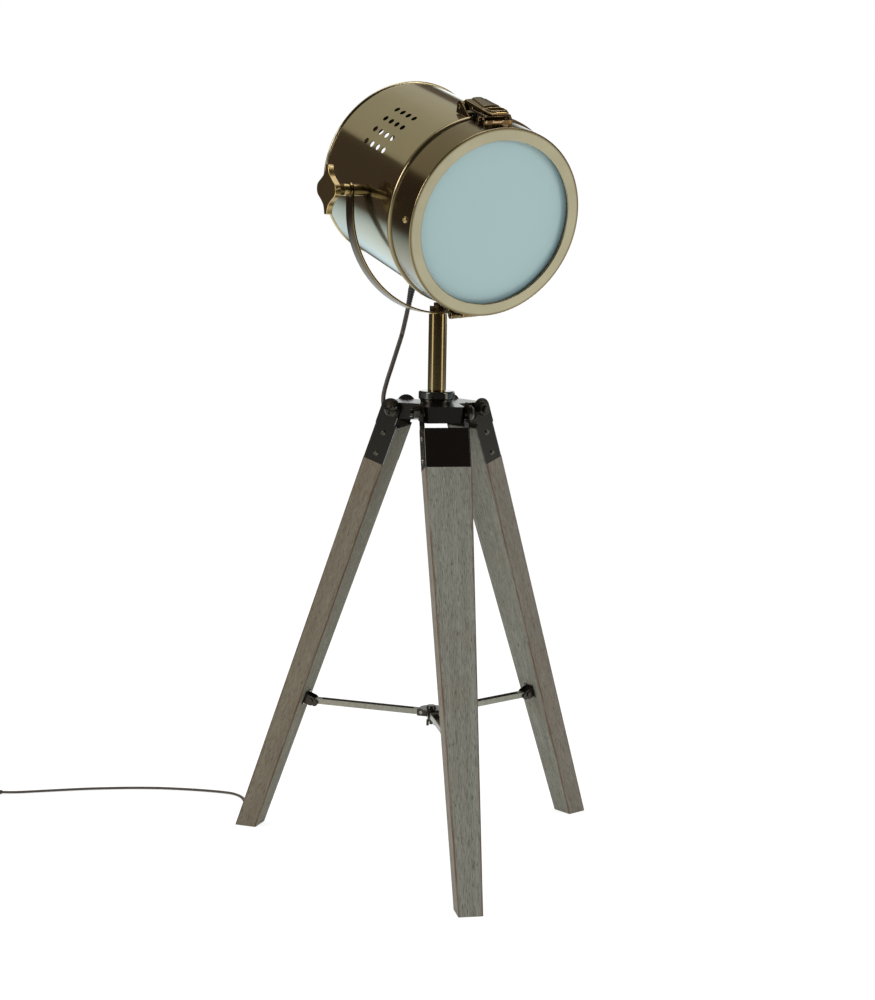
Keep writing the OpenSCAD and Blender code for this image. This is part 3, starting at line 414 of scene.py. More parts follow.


# grey-washed pine, sawn and sanded: matt and streaky, brown where the wash is worn
# off; the left leg's copy is tinted darker and warmer as painted shade
for leg_name, turn, shade_tint in (("front", -90, "#ffffff"), ("left", 150, "#e9e3d6"), ("right", 30, "#ffffff")):
    wood, tree, out = new_finish("grey-washed pine " + leg_name)
    away = math.radians(turn)
    where = add(tree, "ShaderNodeTexCoord")
    # metres in the leg's own frame: x outward, y across, z up along the grain
    in_leg = add(tree, "ShaderNodeMapping", {
        "Vector": where.outputs["Object"], "Rotation": (0, -LEG_LEAN, away),
        "Location": (HINGE_R / 1000 * math.cos(away), HINGE_R / 1000 * math.sin(away), HINGE_Z / 1000)},
        vector_type="TEXTURE")
    parts = add(tree, "ShaderNodeSeparateXYZ", {0: in_leg.outputs[0]})
    # fibres 0.9 mm wide and 12 mm long, pores 0.5 by 4 mm, growth bands 7 mm wide
    fibre_place = add(tree, "ShaderNodeMapping", {"Vector": in_leg.outputs[0], "Scale": (1, 1, 0.075)})
    fibres = add(tree, "ShaderNodeTexNoise", {"Vector": fibre_place.outputs[0], "Scale": 1100, "Detail": 4,
                                              "Roughness": 0.7})
    pore_place = add(tree, "ShaderNodeMapping", {"Vector": in_leg.outputs[0], "Scale": (1, 1, 0.16)})
    pores = add(tree, "ShaderNodeTexNoise", {"Vector": pore_place.outputs[0], "Scale": 900, "Detail": 2,
                                             "Roughness": 0.5})
    band_place = add(tree, "ShaderNodeMapping", {"Vector": in_leg.outputs[0], "Scale": (1, 1, 0.03)})
    bands = add(tree, "ShaderNodeTexNoise", {"Vector": band_place.outputs[0], "Scale": 150, "Detail": 3})
    patches = add(tree, "ShaderNodeTexNoise", {"Vector": in_leg.outputs[0], "Scale": 22, "Detail": 3})
    washed = add(tree, "ShaderNodeValToRGB", {"Fac": fibres.outputs["Fac"]})
    toned = add(tree, "ShaderNodeValToRGB", {"Fac": bands.outputs["Fac"]})
    for ramp, stops in ((washed, ((0.34, "#4c4a42"), (0.64, "#8b8c80"))),
                        (toned, ((0.32, "#605c52"), (0.68, "#7d7e74")))):
        for stop, (at, colour) in zip(ramp.color_ramp.elements, stops):
            stop.position = at
            stop.color = linear(colour)
    grey = add(tree, "ShaderNodeMix", {0: 0.4, 6: washed.outputs[0], 7: toned.outputs[0]},
               data_type="RGBA")
    pore_mask = add(tree, "ShaderNodeMapRange", {"Value": pores.outputs["Fac"], "From Min": 0.30,
                                                 "From Max": 0.42, "To Min": 0.75, "To Max": 0})
    pitted = add(tree, "ShaderNodeMix", {0: pore_mask.outputs[0], 6: grey.outputs[2], 7: linear("#37322a")},
                 data_type="RGBA")
    patch_mask = add(tree, "ShaderNodeMapRange", {"Value": patches.outputs["Fac"], "From Min": 0.5,
                                                  "From Max": 0.75, "To Min": 0, "To Max": 0.3})
    patched = add(tree, "ShaderNodeMix", {0: patch_mask.outputs[0], 6: pitted.outputs[2],
                                          7: linear("#6a5a4c")}, data_type="RGBA")
    # how far a point lies from the nearest corner of the leg's section
    half_width = add(tree, "ShaderNodeMapRange", {
        "Value": parts.outputs["Z"], "From Min": -LEG_LONG / 1000, "From Max": 0,
        "To Min": LEG_FOOT_WIDE / 2000, "To Max": LEG_TOP_WIDE / 2000}, clamp=False)
    across = add(tree, "ShaderNodeMath", {0: parts.outputs["Y"]}, operation="ABSOLUTE")
    to_side = add(tree, "ShaderNodeMath", {0: half_width.outputs[0], 1: across.outputs[0]},
                  operation="SUBTRACT")
    to_front = add(tree, "ShaderNodeMath", {0: LEG_OUT, 1: parts.outputs["X"]}, operation="SUBTRACT")
    to_back = add(tree, "ShaderNodeMath", {0: parts.outputs["X"], 1: LEG_IN}, operation="ADD")
    to_face = add(tree, "ShaderNodeMath", {0: to_front.outputs[0], 1: to_back.outputs[0]},
                  operation="MINIMUM")
    to_corner = add(tree, "ShaderNodeMath", {0: to_side.outputs[0], 1: to_face.outputs[0]},
                    operation="MAXIMUM")
    ragged = add(tree, "ShaderNodeTexNoise", {"Vector": band_place.outputs[0], "Scale": 700, "Detail": 4})
    ragged_by = add(tree, "ShaderNodeMapRange", {"Value": ragged.outputs["Fac"], "From Min": 0.3,
                                                 "From Max": 0.7, "To Min": -0.0012, "To Max": 0.0012})
    corner = add(tree, "ShaderNodeMath", {0: to_corner.outputs[0], 1: ragged_by.outputs[0]},
                 operation="ADD")
    rubbed = add(tree, "ShaderNodeMapRange", {"Value": corner.outputs[0], "From Min": 0.0004,
                                              "From Max": 0.0020, "To Min": 0.9, "To Max": 0})
    warm_side = add(tree, "ShaderNodeMapRange", {"Value": to_side.outputs[0], "From Min": 0.0002,
                                                 "From Max": 0.0006, "To Min": 0.28, "To Max": 0})
    sided = add(tree, "ShaderNodeMix", {0: warm_side.outputs[0], 6: patched.outputs[2],
                                        7: linear("#6e5848")}, data_type="RGBA")
    cornered = add(tree, "ShaderNodeMix", {0: rubbed.outputs[0], 6: sided.outputs[2],
                                           7: linear("#583c2b")}, data_type="RGBA")
    # painted shade: the top 20 mm of the leg, end grain and sides alike, up in its bracket at the hinge, is
    # darkened
    top_shade_mask = add(tree, "ShaderNodeMapRange", {"Value": parts.outputs["Z"], "From Min": -0.0201,
                                               "From Max": -0.0198})
    with_top_shade = add(tree, "ShaderNodeMix", {0: top_shade_mask.outputs[0], 6: cornered.outputs[2],
                                        7: linear("#33291f")}, data_type="RGBA")
    # painted shade: this multiply darkens and warms the left leg alone
    leg_tone = add(tree, "ShaderNodeMix", {0: 1, 6: with_top_shade.outputs[2], 7: linear(shade_tint)},
                   data_type="RGBA", blend_type="MULTIPLY")
    furrows = add(tree, "ShaderNodeBump", {"Height": fibres.outputs["Fac"], "Strength": 0.6,
                                           "Distance": 0.0006})
    surface = add(tree, "ShaderNodeBsdfPrincipled", {"Base Color": leg_tone.outputs[2], "Roughness": 0.8,
                                                     "Normal": furrows.outputs["Normal"]})
    tree.links.new(surface.outputs[0], out.inputs["Surface"])
    coat(wood, "leg_" + leg_name)

# ---- Hub, leg brackets and stay brackets ----
# The three-armed hub, the brackets that wrap the legs' tops, the brackets of the stays
# and the stays' own hub: pressed steel with a satin black powder coat, bolted together.

# satin black powder coat, baked: a fine orange-peel skin, warm black, that lights up
# where it catches the lamps
powder, tree, out = new_finish("satin black powder coat")
where = add(tree, "ShaderNodeTexCoord")
peel = add(tree, "ShaderNodeTexNoise", {"Vector": where.outputs["Object"], "Scale": 900, "Detail": 2})
skin = add(tree, "ShaderNodeBump", {"Height": peel.outputs["Fac"], "Strength": 0.1, "Distance": 0.0002})
surface = add(tree, "ShaderNodeBsdfPrincipled", {"Base Color": linear("#0f0c0a"), "Roughness": 0.24,
                                                 "Specular IOR Level": 0.32,
                                                 "Specular Tint": (1.0, 0.86, 0.74, 1),
                                                 "Normal": skin.outputs["Normal"]})
tree.links.new(surface.outputs[0], out.inputs["Surface"])
coat(powder, "hub", "bracket_front", "bracket_left", "bracket_right", "stay_hub",
     "stay_bracket_front", "stay_bracket_left", "stay_bracket_right")

# ---- Collar ----
# Turned steel ring round the pole's foot, dipped in black enamel and pressed on the
# hub.

# gloss black enamel, dipped: smoother and shinier than the powder coat below it
enamel, tree, out = new_finish("gloss black enamel")
surface = add(tree, "ShaderNodeBsdfPrincipled", {"Base Color": linear("#0d0b0a"), "Roughness": 0.14,
                                                 "Coat Weight": 0.4})
tree.links.new(surface.outputs[0], out.inputs["Surface"])
coat(enamel, "hub_collar")

# ---- Bolts, nuts and screws ----
# The hinge bolts with their nuts, the nut under the stays' hub, and four wood screws in
# each bracket: turned and rolled steel, blackened in oil.


def metal(name, darker, lighter, clouds, detail, roughness, lacquer=None):
    """A metal whose tone drifts between two colours, in so many clouds to the metre."""
    material, tree, out = new_finish(name)
    where = add(tree, "ShaderNodeTexCoord")
    cloud = add(tree, "ShaderNodeTexNoise", {"Vector": where.outputs["Object"], "Scale": clouds,
                                             "Detail": detail})
    shade = add(tree, "ShaderNodeMix", {0: cloud.outputs["Fac"], 6: linear(darker), 7: linear(lighter)},
                data_type="RGBA")
    surface = add(tree, "ShaderNodeBsdfPrincipled", {"Base Color": shade.outputs[2], "Metallic": 1,
                                                     "Roughness": roughness, **(lacquer or {})})
    tree.links.new(surface.outputs[0], out.inputs["Surface"])
    return material


# blackened steel: dull, with a little wear in 3 mm patches; the screws' domed heads
# are a lighter steel that stands in for their highlight: painted highlight
blackened = metal("blackened steel", "#1a1715", "#4a4540", 300, 5, 0.36)
screw_highlight_steel = metal("blackened steel, lightened for highlight", "#2b2824", "#676259", 500, 4, 0.3)
coat(blackened, "hinge_bolt_front", "hinge_bolt_left", "hinge_bolt_right", "hinge_nut_front",
     "hinge_nut_left", "hinge_nut_right", "stay_nut")
coat(screw_highlight_steel, "screws_front", "screws_left", "screws_right")

# ---- Stays ----
# Three bars folded from zinc-plated strip, pinned to the hub between the legs so that
# they swing down when the legs fold.

# zinc plate, left bright: grey, faintly yellowed, with a 4 mm spangle
zinc = metal("zinc-plated strip", "#5f5d56", "#84817a", 240, 4, 0.4)
coat(zinc, "stay_front", "stay_left", "stay_right", "stay_pins")

# ---- Drum ----
# Rolled and seamed steel drum with pierced vent holes and a rolled rim; its rear plate
# has a bridge that carries the lampholder.

# brass plate, chemically darkened and lacquered: an even brown-olive mirror under a
# clear gloss coat
antique = metal("antiqued brass plate, lacquered", "#8f8366", "#9c9174", 22, 3, 0.16,
                {"Coat Weight": 0.6, "Coat Roughness": 0.04})
coat(antique, "drum", "rear_bridge")

# ---- Bezel ----
# Spun steel ring that closes the drum's front and holds the glass behind its lip, in
# the drum's own plate, with the lip brushed back to a pale satin brass.

PIVOT_Z = 0.7472
PAN, TILT = math.radians(19.5), math.radians(15.6)
# the yoke's frame has its origin on the tilt pivot; the head's has +Z out of the drum
YOKE_FRAME = Matrix.Translation((0, 0, PIVOT_Z)) @ Matrix.Rotation(PAN, 4, "Z")
HEAD_FRAME = YOKE_FRAME @ Matrix.Rotation(math.radians(90) + TILT, 4, "X")
DRUM_AXIS = HEAD_FRAME.to_3x3() @ Vector((0, 0, 1))

# brass plate, darkened, brushed on the lip: the band mirrors the room, the lip is pale
# and satin, and the corner between them, past 99.6 mm from the axis, is painted shade in dark gold
lip, tree, out = new_finish("antiqued brass with a brushed lip")
where = add(tree, "ShaderNodeTexCoord")
cloud = add(tree, "ShaderNodeTexNoise", {"Vector": where.outputs["Object"], "Scale": 30, "Detail": 4})
facing = add(tree, "ShaderNodeVectorMath", {0: where.outputs["Normal"], 1: DRUM_AXIS},
             operation="DOT_PRODUCT")
front = add(tree, "ShaderNodeMapRange", {"Value": facing.outputs["Value"], "From Min": 0.55,
                                         "From Max": 0.9})
dark = add(tree, "ShaderNodeMix", {0: cloud.outputs["Fac"], 6: linear("#6b5f48"), 7: linear("#7a6e55")},
           data_type="RGBA")
pale = add(tree, "ShaderNodeMix", {0: cloud.outputs["Fac"], 6: linear("#827d6c"), 7: linear("#97917e")},
           data_type="RGBA")
from_pivot = add(tree, "ShaderNodeVectorMath", {0: where.outputs["Object"], 1: (0, 0, PIVOT_Z)},
                 operation="SUBTRACT")
swept = add(tree, "ShaderNodeVectorMath", {0: from_pivot.outputs[0], 1: DRUM_AXIS},
            operation="CROSS_PRODUCT")
radius = add(tree, "ShaderNodeVectorMath", {0: swept.outputs[0]}, operation="LENGTH")
# painted shade: the lip's rounded outer corner is darkened to dark gold
corner = add(tree, "ShaderNodeMapRange", {"Value": radius.outputs["Value"], "From Min": 0.0996,
                                          "From Max": 0.1018, "To Min": 0, "To Max": 0.9})
lip_with_rim_shade = add(tree, "ShaderNodeMix", {0: corner.outputs[0], 6: pale.outputs[2], 7: linear("#57482d")},
             data_type="RGBA")
shade = add(tree, "ShaderNodeMix", {0: front.outputs[0], 6: dark.outputs[2], 7: lip_with_rim_shade.outputs[2]},
            data_type="RGBA")
satin = add(tree, "ShaderNodeMapRange", {"Value": front.outputs[0], "To Min": 0.18, "To Max": 0.46})
surface = add(tree, "ShaderNodeBsdfPrincipled", {"Base Color": shade.outputs[2], "Metallic": 1,
                                                 "Roughness": satin.outputs[0]})
tree.links.new(surface.outputs[0], out.inputs["Surface"])
coat(lip, "bezel")

# ---- Pole ----
# Steel tube, 19 mm across, with the threaded nipple, lock nut and washers that clamp
# the yoke on its top.

# brass plate, darkened most of all and polished: long bright streaks on brown
tube = metal("dark antiqued brass", "#7d6d4a", "#8a7a56", 40, 3, 0.14, {"Coat Weight": 0.5})
coat(tube, "pole", "nipple", "lock_nut", "yoke_washers")

# ---- Yoke ----
# 16 by 2 mm steel strip bent to a half circle round the drum and bronzed, with its
# edges eased and painted pale brass: painted highlight.

# dark bronze plate on rolled strip: brown, half dull; on its eased edges, pale thin lines of painted
# highlight
strap = metal("dark bronze strip", "#3f3224", "#54442f", 60, 4, 0.3)
edge_highlight_brass = metal("pale brass edge highlight", "#8a7347", "#bfa878", 200, 3, 0.28)


def ease_edges(piece, width, finish_slot):
    """Rounds the sharp edges of a piece, the rounding in one of its finishes."""
    weld = piece.modifiers.new("weld", "WELD")
    weld.merge_threshold = 0.000005
    bevel = piece.modifiers.new("eased edges", "BEVEL")
    bevel.width = width
    bevel.segments = 2
    bevel.limit_method = "ANGLE"
    bevel.angle_limit = math.radians(42)
    bevel.material = finish_slot
    bevel.harden_normals = False


coat(strap, "yoke_strap")
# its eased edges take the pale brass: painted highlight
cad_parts["yoke_strap"].data.materials.append(edge_highlight_brass)
ease_edges(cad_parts["yoke_strap"], 0.0003, 1)

# ---- Hinge ----
# Two leaves of folded strip under the drum's mouth, one on the drum and one on the
# bezel, with a steel pin through their rolled ends.

# dark bronze plate, lacquered: darker than the yoke, and smudged where it was held
bronze, tree, out = new_finish("dark bronze plate")
where = add(tree, "ShaderNodeTexCoord")
cloud = add(tree, "ShaderNodeTexNoise", {"Vector": where.outputs["Object"], "Scale": 60, "Detail": 4})
shade = add(tree, "ShaderNodeMix", {0: cloud.outputs["Fac"], 6: linear("#42331f"), 7: linear("#544228")},
            data_type="RGBA")
smudge = add(tree, "ShaderNodeMapRange", {"Value": cloud.outputs["Fac"], "To Min": 0.2, "To Max": 0.34})
surface = add(tree, "ShaderNodeBsdfPrincipled", {"Base Color": shade.outputs[2], "Metallic": 1,
                                                 "Roughness": smudge.outputs[0], "Coat Weight": 0.2})
tree.links.new(surface.outputs[0], out.inputs["Surface"])
coat(bronze, "hinge_leaf_drum", "hinge_pin", "hinge_leaf_bezel")
# the leaves' eased edges take the pale brass: painted highlight
for name in ("hinge_leaf_drum", "hinge_leaf_bezel"):
    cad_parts[name].data.materials.append(edge_highlight_brass)
    ease_edges(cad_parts[name], 0.0003, 1)

# ---- Knobs and pivot bosses ----
# Two die-cast four-point knobs, 53 mm tall and 44 mm wide, each on a 13 mm hub and a
# stud that goes through the yoke into a boss on the drum. They clamp the tilt, and
# stand a few degrees off upright.

# cast bronze, lacquered: sandy from the mould, with 11 mm clouds and a thin gloss
cast, tree, out = new_finish("cast bronze, lacquered")
where = add(tree, "ShaderNodeTexCoord")
cloud = add(tree, "ShaderNodeTexNoise", {"Vector": where.outputs["Object"], "Scale": 90, "Detail": 5})
shade = add(tree, "ShaderNodeMix", {0: cloud.outputs["Fac"], 6: linear("#77653f"), 7: linear("#8a764e")},
            data_type="RGBA")
grit = add(tree, "ShaderNodeTexNoise", {"Vector": where.outputs["Object"], "Scale": 1500, "Detail": 2})
sandy = add(tree, "ShaderNodeBump", {"Height": grit.outputs["Fac"], "Strength": 0.15,
                                     "Distance": 0.0001})
surface = add(tree, "ShaderNodeBsdfPrincipled", {"Base Color": shade.outputs[2], "Metallic": 1,
                                                 "Roughness": 0.3, "Coat Weight": 0.3,
                                                 "Normal": sandy.outputs["Normal"]})
tree.links.new(surface.outputs[0], out.inputs["Surface"])
coat(cast, "pivot_bosses")

KNOB_BACK, KNOB_FACE = 134.2, 141


def place(mesh, frame_matrix, name, body, slot, finishes, *stands_for, edge=0.0004):
    """Turns a mesh in millimetres of a frame into a piece of the lamp."""
    mesh.normal_update()
    bmesh.ops.recalc_face_normals(mesh, faces=mesh.faces)
    mesh.transform(frame_matrix @ Matrix.Scale(0.001, 4))
    data = bpy.data.meshes.new(name)
    mesh.to_mesh(data)
    mesh.free()
    for finish in finishes:
        data.materials.append(finish)
    data.polygons.foreach_set("use_smooth", [True] * len(data.polygons))
    data.set_sharp_from_angle(angle=math.radians(40))
    piece = bpy.data.objects.new(name, data)
    bpy.context.scene.collection.objects.link(piece)
    # the eased edges take the last finish; on the bronze pieces that is the pale brass of painted highlight
    if edge:
        ease_edges(piece, edge, len(finishes) - 1)
    if body:
        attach(piece, body)
    if stands_for:
        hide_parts(*stands_for)
    return piece


def slab(mesh, outline, low, high, lift):
    """A plate: a closed outline drawn at two heights; lift turns (u, v, w) to a place."""
    loft(mesh, [[mesh.verts.new(lift(u, v, w)) for u, v in outline] for w in (low, high)])


def rod(mesh, start, end, profile, sides=32):
    """A turned bar from start to end: profile lists (share of the length, radius)."""
    start, end = Vector(start), Vector(end)
    axis = (end - start).normalized()
    side = axis.orthogonal().normalized()
    other = axis.cross(side)
    rings = []
    for share, radius in profile:
        middle = start.lerp(end, share)
        rings.append([mesh.verts.new(middle + (side * math.cos(a) + other * math.sin(a)) * radius)
                      for a in (2 * math.pi * k / sides for k in range(sides))])
    loft(mesh, rings)


# a quarter of the knob's outline, from its top point to its side point
knob_quarter = [(2, 26.6), (2.9, 26.0), (3.3, 24), (4, 20.8), (5.5, 17.4), (7.9, 14.6), (10.9, 12.2),
                (14.3, 9.8), (17.5, 7.8), (20, 5.8), (21.4, 3.8), (22, 1.4)]
knob_star = (knob_quarter + [(v, -u) for v, u in reversed(knob_quarter)]
             + [(-v, -u) for v, u in knob_quarter] + [(-v, u) for v, u in reversed(knob_quarter)])
for knob_name, side, turn in (("knob_left", -1, 3.7), ("knob_right", 1, -8)):
    mesh = bmesh.new()
    c, d = math.cos(math.radians(turn)), math.sin(math.radians(turn))

    def knob_lift(v, u, w, side=side, c=c, d=d):
        return Vector((side * w, -(v * c + u * d), u * c - v * d))

    slab(mesh, knob_star, KNOB_BACK, KNOB_FACE, knob_lift)
    # its hub with a turned groove, and the stud
    rod(mesh, (side * 114.1, 0, 0), (side * 135, 0, 0),
        [(0, 5.9), (0.02, 6.5), (0.3, 6.5), (0.32, 6.2), (0.34, 6.5), (0.9, 6.5), (1, 7.6)])
    rod(mesh, (side * 98, 0, 0), (side * 114.4, 0, 0), [(0, 3.3), (0.04, 3.9), (1, 3.9)])
    place(mesh, YOKE_FRAME, knob_name + "_cast", knob_name, "dark_bronze", (cast, edge_highlight_brass), knob_name,
          edge=0.0005)

# ---- Latch ----
# Toggle latch of stamped bronze strip: a base with two cheeks riveted on the drum, a
# long crowned lever with a finger rim, a wire bail under it, and a hooked keeper on the
# bezel. The lever turns down and draws the keeper back with the bail.

# millimetres: x from the drum's axis, y across, z towards the lip
LATCH_FRAME = HEAD_FRAME @ Matrix.Rotation(math.radians(94), 4, "Z")
DRUM_R, BAND_R = 101.05, 103.15
PIN_X, PIN_Z = 108.5, 53
BAIL_X, BAIL_Z = 110.5, 72
CATCH_X, CATCH_Z = 110.5, 104
SHEET = 1.6


def along(z, x, y):
    return Vector((x, y, z))


# base: curved foot, two cheeks that slope to the front, two rivet heads
mesh = bmesh.new()
foot = []
for k in range(25):
    y = -17.5 + 35 * k / 24
    tuck = 0 if abs(y) < 11 else 7 * ((abs(y) - 11) / 6.5) ** 3
    foot.append((y, 48.6 + 0.6 * tuck, 75.4 - 0.3 * tuck))
rows = [[mesh.verts.new((math.sqrt(r * r - y * y), y, ends[end])) for y, *ends in foot]
        for r, end in ((DRUM_R, 0), (DRUM_R, 1), (DRUM_R + SHEET, 1), (DRUM_R + SHEET, 0))]
for a, b in zip(rows, rows[1:] + rows[:1]):
    for k in range(24):
        mesh.faces.new((a[k], a[k + 1], b[k + 1], b[k]))
for k in (0, 24):
    mesh.faces.new([row[k] for row in rows])
cheek_round = [math.radians(a) for a in range(195, 40, -12)]
cheek = ([(46.6, 100.6)] + [(PIN_Z + 6.2 * math.cos(a), PIN_X + 6.2 * math.sin(a)) for a in cheek_round]
         + [(66, 107.4), (74, 103.6), (76.4, 102.2), (76.6, 100.6)])
for side in (-1, 1):
    slab(mesh, cheek, side * 15.2, side * 16.9, along)
    rod(mesh, (101.8, side * 8, 68), (104.2, side * 8, 68), [(0, 2.6), (0.5, 2.5), (0.8, 1.9), (1, 0.9)])
place(mesh, LATCH_FRAME, "latch_base_stamped", "head", "dark_bronze", (bronze, edge_highlight_brass), "latch_base",
      edge=0.00035)

# lever: a roll round the pin, side flanges and a heel, a crowned plate with a flared
# boss and a rim round the finger's place
mesh = bmesh.new()
rod(mesh, (PIN_X, -16, PIN_Z), (PIN_X, 16, PIN_Z), [(0, 1.4), (0.02, 2), (0.98, 2), (1, 1.4)])
rod(mesh, (PIN_X, -14, PIN_Z), (PIN_X, 14, PIN_Z), [(0, 3.4), (0.03, 4.6), (0.97, 4.6), (1, 3.4)])
flange = [(48.6, 109.4), (49.2, 106), (51.4, 104.3), (54, 104), (56.8, 105.6), (60, 108.6), (68, 108.5),
          (72, 107.9), (76, 108.7), (90, 111.4), (98, 113.4), (98, 115.2), (56.6, 116.2), (50.6, 112.6)]
heel = [(49.4, 110.6), (50.6, 112.7), (55.9, 116.4), (57.4, 116.4), (57.4, 114.9), (51.6, 111.2)]
for side in (-1, 1):
    rod(mesh, (PIN_X, side * 16, PIN_Z), (PIN_X, side * 18.6, PIN_Z),
        [(0, 2), (0.3, 3), (0.8, 2.7), (1, 1.4)])
    slab(mesh, flange, side * 11.3, side * 12.7, along)
slab(mesh, heel, -12.6, 12.6, along)

PLATE_START, PLATE_LONG, PLATE_HALF = 55.5, 53.5, 12.9
PLATE_STEPS, PLATE_ACROSS = 80, 40
FINGER_Z = 101


def lever_half(z):
    """Half the plate's width: straight, then rounded in towards the finger end."""
    return PLATE_HALF if z < 96 else PLATE_HALF - 3.2 * ((z - 96) / 13) ** 2.4


def lever_height(z, y):
    """Height of the plate's top: a slight crown, the boss, and the finger's rim and bowl."""
    crown = 116.8 - 0.036 * (z - 50) + 0.7 * (1 - (y / PLATE_HALF) ** 2)
    boss_half = 6.2 + 4.6 * min(1, max(0, (z - 55) / 36))
    rise = min(1, max(0, min((boss_half - abs(y)) / 1.6, (z - 57) / 2, (91.5 - z) / 3)))
    boss = 2.6 * rise * rise * (3 - 2 * rise) * (0.75 + 0.25 * math.cos(y / boss_half * 1.4))
    reach = math.hypot(max(0, abs(y) - 5.5), max(0, abs(z - FINGER_Z) - 2.2))
    rim = 1.9 * math.exp(-((reach - 4.2) / 1.05) ** 2)
    bowl = min(1, 3.2 - reach) if reach < 3.2 else 0
    return crown + boss + rim - bowl


stations = [PLATE_START + PLATE_LONG * k / PLATE_STEPS for k in range(PLATE_STEPS + 1)]
shares = [-1 + 2 * k / PLATE_ACROSS for k in range(PLATE_ACROSS + 1)]
top = [[mesh.verts.new((lever_height(z, t * lever_half(z)), t * lever_half(z), z)) for t in shares]
       for z in stations]
under = [[mesh.verts.new((114.9 - 0.03 * (z - 50), t * lever_half(z), z)) for t in shares]
         for z in stations]
for grid in (top, under):
    for a, b in zip(grid, grid[1:]):
        for k in range(PLATE_ACROSS):
            mesh.faces.new((a[k], a[k + 1], b[k + 1], b[k]))
for k in range(PLATE_STEPS):
    for edge in (0, PLATE_ACROSS):
        mesh.faces.new((top[k][edge], top[k + 1][edge], under[k + 1][edge], under[k][edge]))
for k in range(PLATE_ACROSS):
    for end in (0, PLATE_STEPS):
        mesh.faces.new((top[end][k], top[end][k + 1], under[end][k + 1], under[end][k]))
for side in (-1, 1):
    rod(mesh, (BAIL_X, side * 11, BAIL_Z), (BAIL_X, side * 13.4, BAIL_Z), [(0, 2.2), (0.6, 2.2), (1, 1.5)])
place(mesh, LATCH_FRAME, "latch_lever_crowned", "latch_lever", "dark_bronze", (bronze, edge_highlight_brass),
      "latch_lever", edge=0.0004)

# bail: 2.4 mm wire, hooked into the lever, its bar in the keeper's groove
mesh = bmesh.new()
wire = [(0, 0.6), (0.03, 1.2), (0.97, 1.2), (1, 0.6)]
for side in (-1, 1):
    rod(mesh, (BAIL_X, side * 14.8, BAIL_Z - 1.2), (CATCH_X, side * 14.8, CATCH_Z + 1.2), wire)
    rod(mesh, (BAIL_X, side * 12.2, BAIL_Z), (BAIL_X, side * 15.4, BAIL_Z), [(0, 1.2), (0.8, 1.2), (1, 0.5)])
rod(mesh, (CATCH_X, -15.6, CATCH_Z), (CATCH_X, 15.6, CATCH_Z), wire)
place(mesh, LATCH_FRAME, "latch_bail_wire", "latch_bail", "dark_bronze", (bronze, edge_highlight_brass),
      "latch_bail", edge=0)

# keeper: a hooked block whose foot follows the band, with a pin through its ends; a
# hook point of height 0 lies on the band
mesh = bmesh.new()
groove_round = [math.radians(a) for a in (160, 190, 220, 250, 280)]
groove = [(CATCH_Z + 1.45 * math.cos(a), CATCH_X - 1.2 + 1.45 * math.sin(a)) for a in groove_round]
hook = ([(89.4, 0), (89.4, 104.6), (91, 108.4), (93.5, 109.4), (101, 109.4)] + groove
        + [(106, 106.4), (106.6, 0)])
rings = []
for y in (-17.2, -16.9, -16, -12, -8, -4, 0, 4, 8, 12, 16, 16.9, 17.2):
    eased = {17.2: 1.2, 16.9: 0.5}.get(abs(y), 0)
    on_band = math.sqrt(BAND_R ** 2 - y * y)
    rings.append([mesh.verts.new((on_band if x == 0 else max(on_band, x - eased), y, z)) for z, x in hook])
loft(mesh, rings)
for side in (-1, 1):
    rod(mesh, (105.6, side * 16.8, 97.5), (105.6, side * 20.4, 97.5),
        [(0, 3.1), (0.15, 3.3), (0.6, 3.2), (0.9, 2.4), (1, 1.2)])
place(mesh, LATCH_FRAME, "latch_keeper_hooked", "bezel", "dark_bronze", (bronze, edge_highlight_brass),
      "latch_keeper", edge=0.00035)

# ---- Bezel screws ----
# Two domed screws in the knobs' bronze, which go through the band from its sides and
# hold the lip's ring.

SCREW_SEAT_R, SCREW_Z = 103.1, 110.5
for name, side in (("left", -1), ("right", 1)):
    mesh = bmesh.new()
    rod(mesh, (side * (SCREW_SEAT_R - 4), 0, SCREW_Z), (side * (SCREW_SEAT_R + 2.4), 0, SCREW_Z),
        [(0, 1.9), (0.6, 1.9), (0.605, 3.1), (0.63, 3.6), (0.8, 3.5), (0.9, 2.9), (0.97, 1.9),
         (0.985, 1.5), (0.93, 1.1), (0.92, 0.4)])
    place(mesh, HEAD_FRAME, "bezel_screw_" + name, "bezel", "dark_bronze", (cast,), "bezel_screws", edge=0)

# ---- Glass, its seal and clips ----
# A disc of 3 mm plate glass, bedded in a black rubber seal behind the lip and held by
# three zinc-plated clips. The same rubber makes the gland where the flex leaves the
# drum.

# plate glass, sandblasted on its inner face: milky and pale blue, with a soft sheen
frost, tree, out = new_finish("sandblasted glass")
surface = add(tree, "ShaderNodeBsdfPrincipled", {"Base Color": linear("#9ab7bb"), "Roughness": 0.5,
                                                 "Coat Weight": 0.35, "Coat Roughness": 0.12})
tree.links.new(surface.outputs[0], out.inputs["Surface"])
coat(frost, "glass")
coat(zinc, "glass_clips")

# black rubber, moulded: a flat, even black that mirrors nothing
rubber, tree, out = new_finish("black rubber")
surface = add(tree, "ShaderNodeBsdfPrincipled", {"Base Color": linear("#141312"), "Roughness": 0.6})
tree.links.new(surface.outputs[0], out.inputs["Surface"])
coat(rubber, "glass_seal", "cord_gland")

# ---- Lampholder, cable clips, switch and plug ----
# Injection-moulded in black thermoplastic; the switch has a rocker in its top, and the
# plug two bright pins.

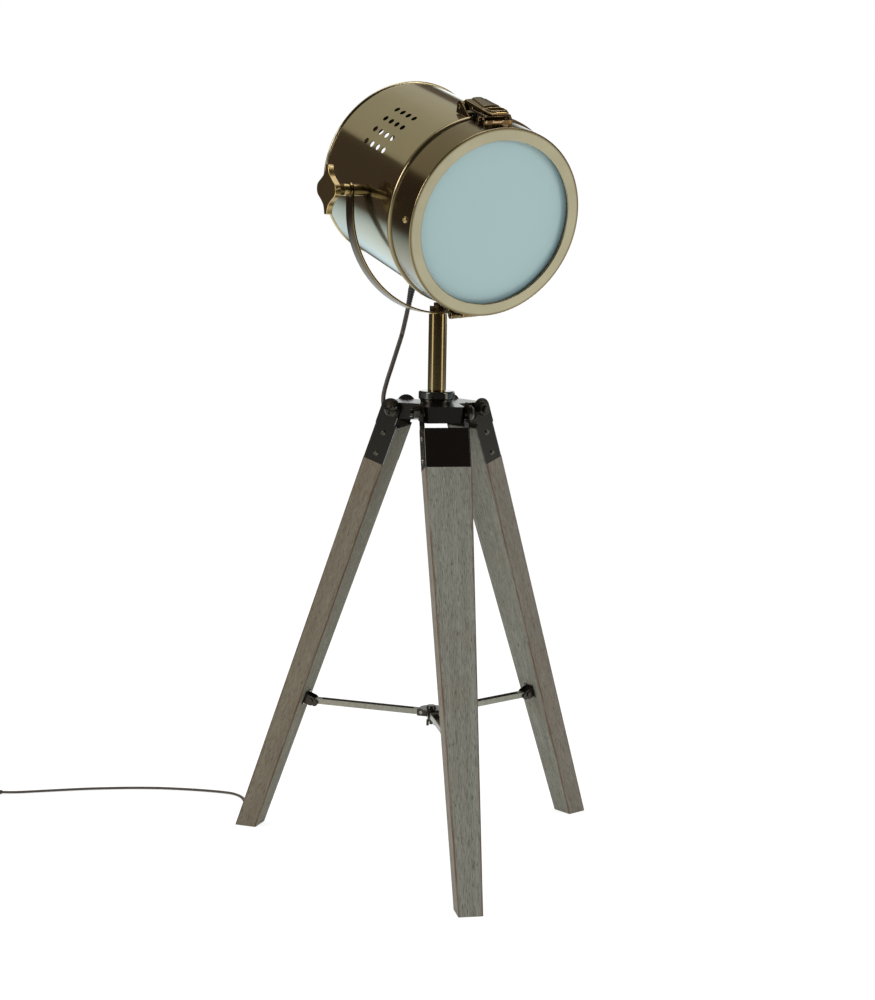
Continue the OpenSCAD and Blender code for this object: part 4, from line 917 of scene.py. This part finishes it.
# black thermoplastic, moulded: smooth, with a half-gloss
moulded, tree, out = new_finish("moulded black plastic")
surface = add(tree, "ShaderNodeBsdfPrincipled", {"Base Color": linear("#121110"), "Roughness": 0.3})
tree.links.new(surface.outputs[0], out.inputs["Surface"])
coat(moulded, "lampholder", "cable_clips", "switch_body", "switch_rocker", "plug")
coat(zinc, "plug_pins")

# ---- Strain reliefs ----
# Tapered sleeves in the gland's rubber, ribbed so that they bend, where the flex leaves
# the drum, both ends of the switch and the plug.

SLEEVE_SIDES, SLEEVE_RINGS = 24, 45


def sleeve(name, body, run, start, step, length, thin, wide=0.0048, end=0.0032):
    """A ribbed sleeve along the flex from one of its points."""
    mesh = bmesh.new()
    angles = [2 * math.pi * k / SLEEVE_SIDES for k in range(SLEEVE_SIDES)]
    outline = [(math.cos(a), math.sin(a)) for a in angles]
    # the flex's points under the sleeve, each with its distance from the start
    passed, gone, i = [], 0.0, start
    while gone < length:
        passed.append((run[i], gone))
        gone += (run[i + step] - run[i]).length
        i += step
    passed.append((run[i], gone))
    last = SLEEVE_RINGS - 1
    rings = []
    for k in range(SLEEVE_RINGS):
        at = length * k / last
        j = max(n for n in range(len(passed) - 1) if passed[n][1] <= at)
        (here, here_at), (there, there_at) = passed[j], passed[j + 1]
        middle = here.lerp(there, min(1, (at - here_at) / (there_at - here_at)))
        tangent = (there - here).normalized()
        side = tangent.cross(thin[i]).normalized()
        up = side.cross(tangent).normalized()
        rib = 0.0005 if 6 < k < 38 and k % 6 < 2 else 0
        radius = wide + (end - wide) * k / last - rib
        rings.append([mesh.verts.new(middle + side * x * radius + up * y * (radius - 0.0009))
                      for x, y in outline])
    loft(mesh, rings)
    return place(mesh, Matrix.Scale(1000, 4), name, body, "black_rubber", (rubber,), edge=0)


drum_sleeve = sleeve("sleeve_drum", None, first_run, 0, 1, 0.02, first_thin, 0.0041, 0.0031)
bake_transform(drum_sleeve)
sleeve("sleeve_switch_in", "stand", first_run, len(first_run) - 1, -1, 0.022, first_thin)
sleeve("sleeve_switch_out", "stand", last_run, 0, 1, 0.022, last_thin)
sleeve("sleeve_plug", "stand", last_run, len(last_run) - 1, -1, 0.024, last_thin)

# ---- Bulb ----
# A round opal glass bulb with its screw cap in the lampholder, seen only when the bezel
# is open.

# opal glass, blown: warm white all through, with a gloss
opal, tree, out = new_finish("opal glass")
surface = add(tree, "ShaderNodeBsdfPrincipled", {"Base Color": linear("#f1eee6"), "Roughness": 0.25})
tree.links.new(surface.outputs[0], out.inputs["Surface"])
coat(opal, "bulb")
